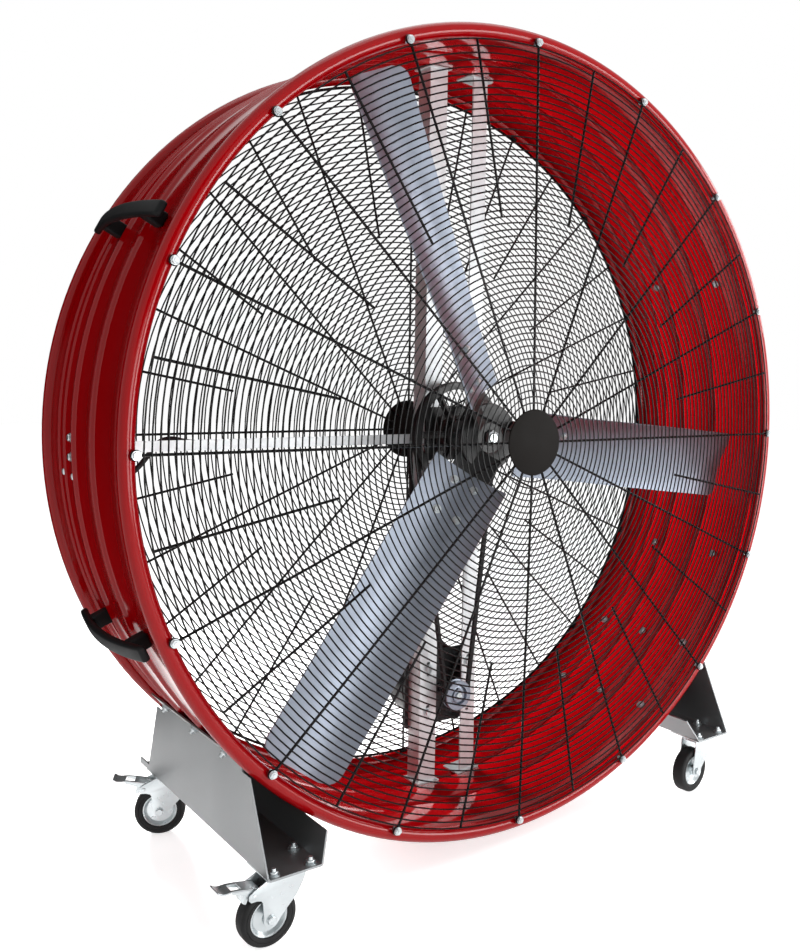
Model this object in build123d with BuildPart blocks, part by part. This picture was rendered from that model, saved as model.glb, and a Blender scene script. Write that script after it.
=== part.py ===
"""A 1.6 m belt-driven drum fan on four swivel casters, in millimetres.

+Z is up, the fan axis lies along Y and air leaves towards -Y, the front.
The origin is on the floor, under the middle of the drum.
"""

import os
from math import acos, asin, atan2, cos, degrees, hypot, pi, radians, sin, sqrt, tan

from build123d import *

os.makedirs("parts", exist_ok=True)

# ---- drum ----
RIM_RADIUS = 800.0         # outside of the two rolled rims
GROUND_CLEARANCE = 32.0    # under the drum
AXIS_HEIGHT = RIM_RADIUS + GROUND_CLEARANCE
RIM_SPACING = 420.0        # between the middle planes of the rolled rims
RIM_BEAD = 14.0            # half the width of a rolled rim
SHEET = 2.5                # drum sheet
RIB_FORWARD = (-54.0, 50.0)   # swaged ribs, forward of the middle
RIB_WIDTH = 20.0
RIB_HEIGHT = 6.0
SEAT_GAP = 0.3             # between a piece and the curved wall that it sits on

# ---- wire guards ----
GUARD_SPOKES = 16          # long ones, with as many short ones between them
RING_SIDES = 16
RING_STEP = 75.0           # six of the real guard's rings, which are 12.5 mm apart
RING_WIRE = 3.0
SPOKE_WIRE = 5.0
SPOKE_END_RADIUS = RIM_RADIUS - 34.0
OUTER_RING_RADIUS = RIM_RADIUS - 59.0
INNER_RING_RADIUS = 130.0  # no ring is smaller than this
SHORT_SPOKE_RINGS = 4      # the short spokes start this many steps inside the outer ring
SPOKE_START_RADIUS = 42.0
GUARD_DOME = 14.0          # the front guard's middle stands this far forward
REAR_GUARD_INSET = 2.0     # rear guard, forward of the rear rim's middle
DISC_RADIUS = 66.0
DISC_THICKNESS = 3.0
DISC_SIDES = 32
WELD_GAP = 0.05
BOLT_CIRCLE = RIM_RADIUS - 23.5   # bolts that hold the front guard
GUARD_BOLT_HEAD = 9.0
GUARD_BOLT_SHANK = 4.0
GUARD_BOLT_HEIGHT = 6.0
CLIP_WIDTH = 16.0
CLIP_DEPTH = 12.0

# ---- frame inside the drum ----
UPRIGHT_FORWARD = -45.0    # front faces of both uprights
POST_SIZE = 44.0
POST_WALL = 3.0
POST_X = -42.0             # middle of the square post
ANGLE_SIZE = 38.0
ANGLE_WALL = 4.0
ANGLE_X = 50.0             # near edge of the angle upright
SIDE_BAR_SIZE = 20.0
SIDE_BAR_WALL = 3.0
SIDE_BAR_DROP = 20.0       # underside of the side bar below the axis
FOOT_PAD_THICKNESS = 3.0
FOOT_PAD_WIDTH = 60.0
FOOT_PAD_DEPTH = 56.0
BEARING_PLATE_THICKNESS = 5.0
BEARING_PLATE_HEIGHT = 116.0
BEARING_HOLE = 22.0        # in the plates, round the shaft
BEARING_RADIUS = 44.0
BEARING_DEPTH = 14.0
RUNNING_FIT = 0.05

# ---- rotor ----
SHAFT_RADIUS = 15.0
SHAFT_REAR = -122.0        # forward of the middle, so this end is behind it
SHAFT_FRONT = 106.0
STUD_RADIUS = 10.0
STUD_FRONT = 118.0
NUT_RADIUS = 17.0
NUT_HEIGHT = 9.0
PULLEY_FORWARD = -14.0     # middle plane of the belt
PULLEY_WIDTH = 18.0
PULLEY_RADIUS = 114.0
PULLEY_RIM = 16.0
PULLEY_HUB_RADIUS = 30.0
PULLEY_SPOKES = 6
PULLEY_SPOKE_WIDTH = 15.0
PULLEY_SPOKE_DEPTH = 8.0
PULLEY_SIDES = 28
HUB_RADIUS = 72.0
HUB_BOSS_RADIUS = 36.0
HUB_REAR = 60.0
HUB_FACE = 102.0
HUB_THICKNESS = 10.0
HUB_SIDES = 20
BLADES = 3
BLADE_ANGLE = -6.0         # first blade, up from +X as seen from the front
BLADE_ROOT_RADIUS = 92.0
BLADE_TIP_RADIUS = RIM_RADIUS - 48.0
BLADE_CHORD = 165.0
BLADE_ROOT_PITCH = 32.0
BLADE_TIP_PITCH = 14.0
TWIST_START_RADIUS = 220.0
BLADE_CAMBER = 18.0
BLADE_SHEET = 3.0
BLADE_FORWARD = 124.0      # middle of the chord
BLADE_SWEEP = -9.0         # chord's middle off the radial line
BLADE_CORNER = 30.0
BLADE_STATIONS = 4         # spans along the twisted length
CAMBER_STRIPS = 4          # flat strips across the chord
ARM_TIP_RADIUS = 215.0
ARM_START_RADIUS = 30.0
ARM_STRIPS = 2             # of the blade's, behind its middle
ARM_THICKNESS = 6.0
BLADE_BOLT_RADII = (118.0, 190.0)
BLADE_BOLT_HEAD = 7.0
BLADE_BOLT_HEIGHT = 5.0

# ---- motor and belt ----
MOTOR_X = 14.0
MOTOR_DROP = 584.0         # motor axis below the fan axis
MOTOR_RADIUS = 80.0
MOTOR_LENGTH = 82.0
MOTOR_BELL = 16.0
MOTOR_BELL_EDGE = 12.0     # bevel round the end bell
MOTOR_SIDES = 24
MOTOR_SHAFT_RADIUS = 8.0
MOTOR_SHAFT_FRONT = -2.0
MOTOR_PULLEY_RADIUS = 33.5
MOTOR_PULLEY_RIM = 12.0
MOTOR_PLATE_THICKNESS = 5.0
MOTOR_PLATE_WIDTH = 176.0
MOTOR_PLATE_HEIGHT = 170.0
MOTOR_BOLT_HEIGHTS = (60.0, -38.0)   # tension bolts, above the motor axis
MOTOR_BOLT_RADIUS = 4.0
MOTOR_BOLT_HEAD = 8.5
TENSION_SLOT = 34.0
TERMINAL_LEFT = -64.0      # terminal box, from the motor axis
TERMINAL_RIGHT = 48.0
TERMINAL_TOP = 132.0
TERMINAL_SLOPE = 54.0
TERMINAL_DEPTH = 62.0
BELT_WIDTH = 10.0
BELT_HEIGHT = 8.0
BELT_CLEARANCE = 0.4
GROOVE_DEPTH = 10.0

# ---- supply cable inside the drum ----
CABLE_RADIUS = 5.0
CABLE_SIDES = 6
CABLE_BEND_SHARE = 0.45    # of the shorter stretch beside a corner, taken by its bend
CABLE_BEND = 60.0
CABLE_ENTRY = 108.0        # into the terminal box, above the motor axis
# corners of its way up to the bar: right of the gland's mouth, behind the drum's middle, above the axis
CABLE_RISE = ((56.0, 74.0, -74.0), (94.0, 78.0, -48.0), (132.0, 78.0, 8.3))
CABLE_ON_BAR = 190.0       # it lies on the bar from here, right of the gland's mouth
CABLE_OFF_BAR = 54.0       # and as far as this from the post
CABLE_BEHIND_BAR = 31.0    # on the post, from its line along the bar
# corners of its way off the post: right, behind and above its line down the post at the inlet's height
CABLE_FALL = ((0.0, 0.0, 70.0), (-24.0, 41.7, 28.0), (-6.7, 56.7, 0.0))
BAR_CLIPS = (228.0, 418.0, 598.0)    # right of the gland's mouth
GLAND_RADIUS = 13.0
GLAND_LENGTH = 22.0
GLAND_SIDES = 6
GLAND_DROP = 74.0
GLAND_FORWARD = -74.0
CLIP_WALL = 2.5
CABLE_CLIP_LENGTH = 12.0
POST_CLIP_DROPS = (MOTOR_DROP / 4, MOTOR_DROP / 2)

# ---- carrying grips ----
GRIP_ANGLE_UPPER = 28.0    # above the horizontal through the axis
GRIP_ANGLE_LOWER = 23.5    # below it
GRIP_FORWARD = 20.0
GRIP_LENGTH = 310.0
GRIP_LEG_SPACING = GRIP_LENGTH - 114.0
GRIP_LEG_LENGTH = 26.0     # along the drum
GRIP_WIDTH = 28.0
GRIP_HEIGHT = 50.0
GRIP_END_HEIGHT = 33.0
GRIP_THICKNESS = 13.0
GRIP_EDGE = 4.0
WALL_BOLT_HEAD = 7.5       # bolts through the drum wall
WALL_BOLT_HEIGHT = 5.0
FRAME_BOLT_SPACING = 34.0  # along the drum
FRAME_BOLT_FORWARD = -80.0

# ---- feet ----
FOOT_SHEET = 3.0
FOOT_BASE_HEIGHT = 130.0   # underside of the foot above the floor
FOOT_OUTER_X = 0.7325 * RIM_RADIUS
FOOT_INNER_X = FOOT_OUTER_X - 102.0
FOOT_INNER_TOP_X = FOOT_INNER_X - 22.0
FLANGE_WIDTH = 34.0
FOOT_FRONT = RIM_SPACING / 2 + 82.0
FOOT_REAR = -RIM_SPACING / 2 - 103.0
FOOT_TOP_HALF = RIM_SPACING / 2 - 22.0   # half length of the walls where they meet the drum
FOOT_SHOULDER_HALF = RIM_SPACING / 2 + 4.0
FOOT_LIP_HEIGHT = 16.0
FOOT_LIP_LENGTH = 50.0
FLANGE_BOLT_FORWARD = (-130.0, 8.0, 144.0)

# ---- casters ----
CASTER_X = (FOOT_OUTER_X + FOOT_INNER_X) / 2
CASTER_Y = RIM_SPACING / 2 + 35.0
CASTER_YAW = {"front_left": 0.0, "front_right": 7.0, "rear_left": -26.0, "rear_right": -12.0}
BRAKED = ("front_left", "rear_left")
CASTER_TRAIL = 32.0
WHEEL_RADIUS = 50.0
WHEEL_WIDTH = 30.0
WHEEL_SIDES = 16
TREAD_EDGE = 5.0
RIM_OUTSIDE = 34.0
RIM_WIDTH = 24.0
RIM_BOSS_RADIUS = 11.0
AXLE_RADIUS = 6.0
AXLE_HEAD = 9.0
AXLE_HEAD_HEIGHT = 5.0
TOP_PLATE = (96.0, 84.0, 3.0)
RACE_RADIUS = 28.0
RACE_HEIGHT = 6.0
KING_PIN_RADIUS = 9.0
FORK_SHEET = 2.5
FORK_GAP = 37.0
FORK_FRONT = -31.0
FORK_BACK = 38.0
FORK_SKIRT = 12.0
FORK_BOSS = 13.0
KING_PIN_END = 110.0
PIN_SIDES = 12             # pins that turn in round holes
CASTER_BOLT_SPACING = (68.0, 62.0)
RIM_WEB = 5.0
PEDAL_PIN = (63.0, 99.0)   # behind the swivel axis and above the floor
PEDAL_LINE = ((-12, 11), (36, 20), (50, 19), (60, 25))   # top of the pedal, from its pin
SHOE_LINE = ((4, 2), (11, -13), (17, -10), (14, 12))     # brake shoe, from the pin
PEDAL_EAR = 5.5
PEDAL_BOSS = 8.0
PEDAL_WINDOW = 20.0
PEDAL_WINDOW_X = 30.0
PEDAL_PIN_RADIUS = 3.0
PEDAL_WIDTH = 33.0
PEDAL_SHEET = 4.0

# ---- derived places ----
BODY_RADIUS = RIM_RADIUS - RIM_BEAD
BORE_RADIUS = BODY_RADIUS - SHEET
RIM_FORWARD = RIM_SPACING / 2
BEAD_CORNER = RIM_BEAD / cos(radians(30))
POST_LEFT = POST_X - POST_SIZE / 2
ANGLE_BOLT_X = ANGLE_X + (ANGLE_SIZE - ANGLE_WALL) / 2
FRAME_RADIUS = BORE_RADIUS - SEAT_GAP - FOOT_PAD_THICKNESS
UPRIGHT_REAR = UPRIGHT_FORWARD - POST_SIZE
PULLEY_REAR = PULLEY_FORWARD - PULLEY_WIDTH / 2
GROOVE_RADIUS = PULLEY_RADIUS - GROOVE_DEPTH
MOTOR_GROOVE_RADIUS = MOTOR_PULLEY_RADIUS - GROOVE_DEPTH
MOTOR_FACE = UPRIGHT_REAR - MOTOR_PLATE_THICKNESS
WHEEL_TOP = 2 * WHEEL_RADIUS
PLATE_UNDERSIDE = FOOT_BASE_HEIGHT - TOP_PLATE[2]
RACE_UNDERSIDE = PLATE_UNDERSIDE - RACE_HEIGHT
FORK_TOP = RACE_UNDERSIDE - SEAT_GAP
FLANGE_RADIUS = BODY_RADIUS + RIB_HEIGHT + SEAT_GAP
GUARD_RINGS = int((OUTER_RING_RADIUS - INNER_RING_RADIUS) / RING_STEP) + 1
RING_FLAT = cos(pi / RING_SIDES)    # a ring's side, from the middle, in corner radii
SHORT_SPOKE_START_RADIUS = (OUTER_RING_RADIUS - SHORT_SPOKE_RINGS * RING_STEP - RING_WIRE) * RING_FLAT

# The fan's own planes: x to the right, y up, z forward, and a radial section
FAN = Plane(origin=(0, 0, AXIS_HEIGHT), x_dir=(1, 0, 0), z_dir=(0, -1, 0))
SECTION = Plane(origin=(0, 0, AXIS_HEIGHT), x_dir=(1, 0, 0), z_dir=(0, 0, -1))
FAN_AXIS = Axis((0, 0, AXIS_HEIGHT), (0, -1, 0))


def save(part, name):
    """Labels a finished piece and writes it."""
    part.label = name
    export_step(part, f"parts/{name}.step")


def radial_plane(angle, forward=0.0):
    """x along the radius at this angle, y forward, seen from the front."""
    a = radians(angle)
    return Plane(
        origin=(0, -forward, AXIS_HEIGHT), x_dir=(cos(a), 0, sin(a)), z_dir=(sin(a), 0, -cos(a))
    )


def turned_plane(angle, forward=0.0):
    """Across the fan axis, with x along the radius at this angle."""
    a = radians(angle)
    return Plane(origin=(0, -forward, AXIS_HEIGHT), x_dir=(cos(a), 0, sin(a)), z_dir=(0, -1, 0))


def ring_polygon(outer, inner, sides, turn=0.0):
    """A flat many-sided ring in the sketch that is open."""
    RegularPolygon(radius=outer, side_count=sides, rotation=turn)
    RegularPolygon(radius=inner, side_count=sides, rotation=turn, mode=Mode.SUBTRACT)


# ======================= drum =======================


def bead_points(side):
    """Six-sided rolled rim from the sheet's outside round to its inside."""
    middle = side * RIM_FORWARD
    corners = []
    for step in range(6):
        turn = radians(60 * step)
        corners.append(
            (BODY_RADIUS + BEAD_CORNER * sin(turn), middle - side * BEAD_CORNER * cos(turn))
        )
    # the sheet's inside face meets the last side of the bead
    slope = BEAD_CORNER / 2 / (BEAD_CORNER * sin(radians(60)))
    corners.append((BORE_RADIUS, corners[0][1] + side * SHEET * slope))
    return corners


outline = list(reversed(bead_points(-1)))
for rib in RIB_FORWARD:
    outline.append((BODY_RADIUS, rib - RIB_WIDTH / 2))
    outline.append((BODY_RADIUS + RIB_HEIGHT, rib))
    outline.append((BODY_RADIUS, rib + RIB_WIDTH / 2))
outline.extend(bead_points(1))

with BuildPart() as drum_shell:
    with BuildSketch(SECTION):
        with BuildLine():
            Polyline(*outline, close=True)
        make_face()
    revolve(axis=FAN_AXIS)
save(drum_shell.part, "drum_shell")


# ======================= guards =======================


def guard(middle_forward, side, dome):
    """Spokes and rings, as separate wires that touch. The rings lie forward on side 1."""
    end = BOLT_CIRCLE - GUARD_BOLT_SHANK - SEAT_GAP if dome else SPOKE_END_RADIUS
    with BuildPart() as wires:
        for number in range(2 * GUARD_SPOKES):
            start = SHORT_SPOKE_START_RADIUS if number % 2 else SPOKE_START_RADIUS
            rise = dome * (end - start) / (end - SPOKE_START_RADIUS)
            with BuildSketch(radial_plane(number * 180 / GUARD_SPOKES, middle_forward)):
                with BuildLine():
                    Polyline(
                        (start, rise),
                        (end, 0),
                        (end, SPOKE_WIRE),
                        (start, rise + SPOKE_WIRE),
                        close=True,
                    )
                make_face()
            extrude(amount=SPOKE_WIRE / 2, both=True)
        for number in range(GUARD_RINGS):
            radius = OUTER_RING_RADIUS - RING_STEP * number
            # a spoke's face stands highest where it passes the inside of the ring's flat
            rise = dome * (end - (radius - RING_WIRE) * RING_FLAT) / (end - SPOKE_START_RADIUS)
            near = SPOKE_WIRE + WELD_GAP if side > 0 else -WELD_GAP
            with BuildSketch(FAN.offset(middle_forward + rise + near)):
                ring_polygon(radius, radius - RING_WIRE, RING_SIDES)
            extrude(amount=side * RING_WIRE)
    return wires.part


FRONT_GUARD = RIM_FORWARD + BEAD_CORNER + SEAT_GAP
REAR_GUARD = -RIM_FORWARD + REAR_GUARD_INSET
save(guard(FRONT_GUARD, 1, GUARD_DOME), "front_guard")
save(guard(REAR_GUARD, -1, 0.0), "rear_guard")

DISC_BACK = FRONT_GUARD + GUARD_DOME + SPOKE_WIRE + WELD_GAP
with BuildPart() as guard_disc:
    with BuildSketch(FAN.offset(DISC_BACK)):
        RegularPolygon(radius=DISC_RADIUS, side_count=DISC_SIDES)
    extrude(amount=DISC_THICKNESS)
save(guard_disc.part, "front_guard_disc")

with BuildPart() as rear_disc:
    with BuildSketch(FAN.offset(REAR_GUARD - WELD_GAP)):
        RegularPolygon(radius=DISC_RADIUS, side_count=DISC_SIDES)
    extrude(amount=-DISC_THICKNESS)
save(rear_disc.part, "rear_guard_disc")

# the bead's front slope, where the inner edge of a bolt's shank comes down on it
BOLT_INSET = BODY_RADIUS - BOLT_CIRCLE - GUARD_BOLT_SHANK
BOLT_SEAT = RIM_FORWARD + BEAD_CORNER - BOLT_INSET * BEAD_CORNER / 2 / RIM_BEAD
with BuildPart() as guard_bolts:
    with BuildSketch(FAN.offset(BOLT_SEAT + SEAT_GAP)):
        with PolarLocations(BOLT_CIRCLE, GUARD_SPOKES):
            RegularPolygon(radius=GUARD_BOLT_SHANK, side_count=4)
    extrude(amount=FRONT_GUARD + SPOKE_WIRE - BOLT_SEAT)
    with BuildSketch(FAN.offset(FRONT_GUARD + SPOKE_WIRE + SEAT_GAP)):
        with PolarLocations(BOLT_CIRCLE, GUARD_SPOKES):
            RegularPolygon(radius=GUARD_BOLT_HEAD, side_count=6)
    extrude(amount=GUARD_BOLT_HEIGHT)
save(guard_bolts.part, "front_guard_bolts")

CLIP_INNER = SPOKE_END_RADIUS + WELD_GAP
CLIP_OUTER = BODY_RADIUS - RIM_BEAD - SEAT_GAP
with BuildPart() as guard_clips:
    with BuildSketch(FAN.offset(REAR_GUARD - RING_WIRE)):
        with PolarLocations((CLIP_INNER + CLIP_OUTER) / 2, GUARD_SPOKES):
            Rectangle(CLIP_OUTER - CLIP_INNER, CLIP_WIDTH)
    extrude(amount=CLIP_DEPTH)
save(guard_clips.part, "rear_guard_clips")


# ======================= frame =======================


def trim_to_drum(radius):
    """Cuts what is being built to a cylinder round the fan axis."""
    with BuildSketch(FAN.offset(-RIM_FORWARD)) as round_section:
        Circle(radius)
    extrude(round_section.sketch, amount=RIM_SPACING, mode=Mode.INTERSECT)


def cut_tension_slots(x):
    """Slots for the motor's tension bolts, through the upright at this place."""
    half = MOTOR_BOLT_RADIUS + SEAT_GAP
    straight = TENSION_SLOT / 2 - half / 2
    with BuildSketch(FAN.offset(UPRIGHT_REAR)) as slots:
        with Locations(*((x, height - MOTOR_DROP) for height in MOTOR_BOLT_HEIGHTS)):
            Polygon(
                (-half, -straight),
                (0, -TENSION_SLOT / 2),
                (half, -straight),
                (half, straight),
                (0, TENSION_SLOT / 2),
                (-half, straight),
            )
    extrude(slots.sketch, amount=POST_SIZE, mode=Mode.SUBTRACT)


with BuildPart() as main_post:
    with BuildSketch(Plane.XY):
        with Locations((POST_X, -UPRIGHT_FORWARD + POST_SIZE / 2)):
            Rectangle(POST_SIZE, POST_SIZE)
            Rectangle(POST_SIZE - 2 * POST_WALL, POST_SIZE - 2 * POST_WALL, mode=Mode.SUBTRACT)
    extrude(amount=2 * AXIS_HEIGHT)
    trim_to_drum(FRAME_RADIUS)
    cut_tension_slots(POST_X)
save(main_post.part, "main_post")

with BuildPart() as angle_upright:
    with BuildSketch(Plane.XY):
        with Locations((ANGLE_X, -UPRIGHT_FORWARD)):
            Rectangle(ANGLE_SIZE, ANGLE_WALL, align=(Align.MIN, Align.MIN))
        with Locations((ANGLE_X + ANGLE_SIZE, -UPRIGHT_FORWARD)):
            Rectangle(ANGLE_WALL, POST_SIZE, align=(Align.MAX, Align.MIN))
    extrude(amount=2 * AXIS_HEIGHT)
    trim_to_drum(FRAME_RADIUS)
    cut_tension_slots(ANGLE_BOLT_X)
save(angle_upright.part, "angle_upright")

with BuildPart() as side_bar:
    with BuildSketch(Plane.YZ.offset(-RIM_RADIUS)):
        with Locations((-UPRIGHT_FORWARD, AXIS_HEIGHT - SIDE_BAR_DROP)):
            Rectangle(SIDE_BAR_SIZE, SIDE_BAR_WALL, align=(Align.MIN, Align.MIN))
            Rectangle(SIDE_BAR_WALL, SIDE_BAR_SIZE, align=(Align.MIN, Align.MIN))
    extrude(amount=RIM_RADIUS + POST_LEFT)
    trim_to_drum(FRAME_RADIUS)
save(side_bar.part, "side_bar")


def pad_angles():
    """Where the frame's ends meet the drum, up from +X."""
    ends = []
    for x in (POST_X, ANGLE_X + ANGLE_SIZE / 2):
        lean = degrees(asin(x / FRAME_RADIUS))
        ends.extend((90 - lean, -90 + lean))
    ends.append(180 + degrees(asin(SIDE_BAR_DROP / 2 / FRAME_RADIUS)))
    return ends


with BuildPart() as frame_pads:
    for angle in pad_angles():
        half = degrees(FOOT_PAD_WIDTH / 2 / FRAME_RADIUS)
        with BuildSketch(FAN.offset(UPRIGHT_FORWARD - POST_SIZE / 2 - FOOT_PAD_DEPTH / 2)):
            with BuildLine():
                outer = CenterArc((0, 0), FRAME_RADIUS + FOOT_PAD_THICKNESS, angle - half, 2 * half)
                inner = CenterArc((0, 0), FRAME_RADIUS, angle - half, 2 * half)
                Line(outer @ 0, inner @ 0)
                Line(outer @ 1, inner @ 1)
            make_face()
        extrude(amount=FOOT_PAD_DEPTH)
save(frame_pads.part, "frame_pads")


PLATE_REAR = UPRIGHT_REAR - BEARING_PLATE_THICKNESS
with BuildPart() as bearing_plates:
    for forward in (UPRIGHT_FORWARD, PLATE_REAR):
        with BuildSketch(FAN.offset(forward)):
            with Locations(((POST_LEFT + ANGLE_X + ANGLE_SIZE) / 2, 0)):
                Rectangle(ANGLE_X + ANGLE_SIZE - POST_LEFT, BEARING_PLATE_HEIGHT)
            RegularPolygon(radius=BEARING_HOLE, side_count=8, mode=Mode.SUBTRACT)
        extrude(amount=BEARING_PLATE_THICKNESS)
save(bearing_plates.part, "bearing_plates")

with BuildPart() as bearings:
    for forward in (UPRIGHT_FORWARD + BEARING_PLATE_THICKNESS, PLATE_REAR - BEARING_DEPTH):
        with BuildSketch(FAN.offset(forward)):
            RegularPolygon(radius=BEARING_RADIUS, side_count=8, rotation=180 / 8)
            Circle(SHAFT_RADIUS + RUNNING_FIT, mode=Mode.SUBTRACT)
        extrude(amount=BEARING_DEPTH)
save(bearings.part, "bearings")


# ======================= rotor =======================

with BuildPart() as fan_shaft:
    with BuildSketch(FAN.offset(SHAFT_REAR)):
        Circle(SHAFT_RADIUS)
    extrude(amount=SHAFT_FRONT - SHAFT_REAR)
    with BuildSketch(FAN.offset(SHAFT_FRONT)):
        RegularPolygon(radius=STUD_RADIUS, side_count=PIN_SIDES)
    extrude(amount=STUD_FRONT - SHAFT_FRONT)
save(fan_shaft.part, "fan_shaft")

with BuildPart() as hub_nut:
    with BuildSketch(FAN.offset(SHAFT_FRONT)):
        RegularPolygon(radius=NUT_RADIUS, side_count=6)
        RegularPolygon(radius=STUD_RADIUS + RUNNING_FIT, side_count=PIN_SIDES, mode=Mode.SUBTRACT)
    extrude(amount=NUT_HEIGHT)
save(hub_nut.part, "hub_nut")


def grooved_rim(radius, rim, sides):
    """A pulley's rim with a V groove, as three many-sided slices in the open part."""
    cheek = (PULLEY_WIDTH - BELT_WIDTH) / 2 - BELT_CLEARANCE
    for start, outer in ((0, radius), (cheek, radius - GROOVE_DEPTH), (PULLEY_WIDTH - cheek, radius)):
        depth = cheek if outer == radius else PULLEY_WIDTH - 2 * cheek
        yield start, depth, outer, radius - rim, sides


with BuildPart() as driven_pulley:
    for start, depth, outer, inner, sides in grooved_rim(PULLEY_RADIUS, PULLEY_RIM, PULLEY_SIDES):
        with BuildSketch(FAN.offset(PULLEY_REAR + start)):
            ring_polygon(outer, inner, sides)
        extrude(amount=depth)
    with BuildSketch(FAN.offset(PULLEY_FORWARD - PULLEY_SPOKE_DEPTH / 2)):
        with PolarLocations((PULLEY_HUB_RADIUS + PULLEY_RADIUS - PULLEY_RIM) / 2, PULLEY_SPOKES):
            Rectangle(PULLEY_RADIUS - PULLEY_RIM - PULLEY_HUB_RADIUS + PULLEY_SPOKE_DEPTH, PULLEY_SPOKE_WIDTH)
    extrude(amount=PULLEY_SPOKE_DEPTH)
    with BuildSketch(FAN.offset(PULLEY_REAR)):
        RegularPolygon(radius=PULLEY_HUB_RADIUS, side_count=HUB_SIDES)
    extrude(amount=PULLEY_WIDTH)
    with BuildSketch(FAN.offset(PULLEY_REAR)):
        Circle(SHAFT_RADIUS + RUNNING_FIT)
    extrude(amount=PULLEY_WIDTH, mode=Mode.SUBTRACT)
save(driven_pulley.part, "driven_pulley")


def pitch_at(radius):
    """The blade's pitch in degrees: steady at the root, then washing out to the tip."""
    share = (radius - TWIST_START_RADIUS) / (BLADE_TIP_RADIUS - TWIST_START_RADIUS)
    return BLADE_ROOT_PITCH + (BLADE_TIP_PITCH - BLADE_ROOT_PITCH) * min(max(share, 0.0), 1.0)


def blade_plane(angle, radius):
    """Across the blade at this radius, with x along the chord from back to front edge."""
    a = radians(angle)
    tangent, outwards = Vector(-sin(a), 0, cos(a)), Vector(cos(a), 0, sin(a))
    pitch = radians(pitch_at(radius))
    along = tangent * cos(pitch) + Vector(0, -1, 0) * sin(pitch)
    middle = outwards * radius + tangent * BLADE_SWEEP + Vector(0, -BLADE_FORWARD, AXIS_HEIGHT)
    return Plane(origin=middle, x_dir=along, z_dir=outwards)


CAMBER_RADIUS = (BLADE_CHORD**2 / 4 + BLADE_CAMBER**2) / (2 * BLADE_CAMBER)
CAMBER_CENTRE = CAMBER_RADIUS - BLADE_CAMBER     # in front of the chord
HALF_STRIP = asin(BLADE_CHORD / 2 / CAMBER_RADIUS) / CAMBER_STRIPS    # half a strip's share of the arc
ARM_DEPTH = BLADE_SHEET + WELD_GAP
BLADE_TIP_WIDTH = BLADE_CHORD * cos(radians(BLADE_TIP_PITCH)) + WELD_GAP


def camber_line(strips, depth):
    """This many of the flat strips that bend the blade, this far behind its front face."""
    leans = [HALF_STRIP * (2 * step - strips) for step in range(strips + 1)]
    radius = CAMBER_RADIUS + depth
    return [(radius * sin(lean), CAMBER_CENTRE - radius * cos(lean)) for lean in leans]


def bent_strip(plane, strips, depth, thickness):
    """The section of a bent sheet, whose front lies this far behind the blade's front face."""
    with BuildSketch(plane) as strip:
        with BuildLine():
            Polyline(
                *camber_line(strips, depth), *reversed(camber_line(strips, depth + thickness)), close=True
            )
        make_face()
    return strip.sketch


def fan_blade(angle):
    """A twisted, cambered sheet blade with rounded tip corners."""
    twisted = BLADE_TIP_RADIUS - TWIST_START_RADIUS
    radii = [BLADE_ROOT_RADIUS]
    radii.extend(TWIST_START_RADIUS + twisted * step / BLADE_STATIONS for step in range(BLADE_STATIONS + 1))
    with BuildPart() as blade:
        loft([bent_strip(blade_plane(angle, r), CAMBER_STRIPS, 0.0, BLADE_SHEET) for r in radii], ruled=True)
        with BuildSketch(turned_plane(angle, -RIM_FORWARD)) as outline_of_tip:
            with Locations((BLADE_TIP_RADIUS / 2, BLADE_SWEEP)):
                RectangleRounded(BLADE_TIP_RADIUS, BLADE_TIP_WIDTH, BLADE_CORNER)
        extrude(outline_of_tip.sketch, amount=RIM_SPACING, mode=Mode.INTERSECT)
    return blade.part


for number in range(BLADES):
    save(fan_blade(BLADE_ANGLE + 360 / BLADES * number), f"fan_blade_{number + 1}")

with BuildPart() as hub_spider:
    with BuildSketch(FAN.offset(HUB_REAR)):
        RegularPolygon(radius=HUB_BOSS_RADIUS, side_count=HUB_SIDES)
    extrude(amount=SHAFT_FRONT - HUB_REAR)
    with BuildSketch(FAN.offset(HUB_FACE - HUB_THICKNESS)):
        RegularPolygon(radius=HUB_RADIUS, side_count=HUB_SIDES)
    extrude(amount=HUB_THICKNESS)
    for number in range(BLADES):
        angle = BLADE_ANGLE + 360 / BLADES * number
        arm = bent_strip(blade_plane(angle, ARM_START_RADIUS), ARM_STRIPS, ARM_DEPTH, ARM_THICKNESS)
        extrude(arm, amount=ARM_TIP_RADIUS - ARM_START_RADIUS)
    with BuildSketch(FAN.offset(HUB_REAR)):
        Circle(SHAFT_RADIUS + RUNNING_FIT)
    extrude(amount=SHAFT_FRONT - HUB_REAR, mode=Mode.SUBTRACT)
save(hub_spider.part, "hub_spider")


def blade_bolt_plane(angle, radius, side):
    """On the middle of one of the two inner strips of the blade's front face."""
    section = blade_plane(angle, radius)
    lean = side * HALF_STRIP
    depth = CAMBER_RADIUS * cos(HALF_STRIP)
    height = CAMBER_CENTRE - depth * cos(lean)
    seat = section.origin + section.x_dir * depth * sin(lean) + section.y_dir * height
    normal = section.y_dir * cos(lean) - section.x_dir * sin(lean)
    return Plane(origin=seat, x_dir=section.z_dir, z_dir=normal)


with BuildPart() as blade_bolts:
    for number in range(BLADES):
        angle = BLADE_ANGLE + 360 / BLADES * number
        for radius in BLADE_BOLT_RADII:
            for side in (-1, 1):
                with BuildSketch(blade_bolt_plane(angle, radius, side).offset(SEAT_GAP)):
                    RegularPolygon(radius=BLADE_BOLT_HEAD, side_count=6)
                extrude(amount=BLADE_BOLT_HEIGHT)
save(blade_bolts.part, "blade_bolts")


# ======================= motor and belt =======================

MOTOR = FAN.shift_origin(Vector(MOTOR_X, 0, AXIS_HEIGHT - MOTOR_DROP))
MOTOR_BOLT_XS = (POST_X, ANGLE_BOLT_X)


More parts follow.
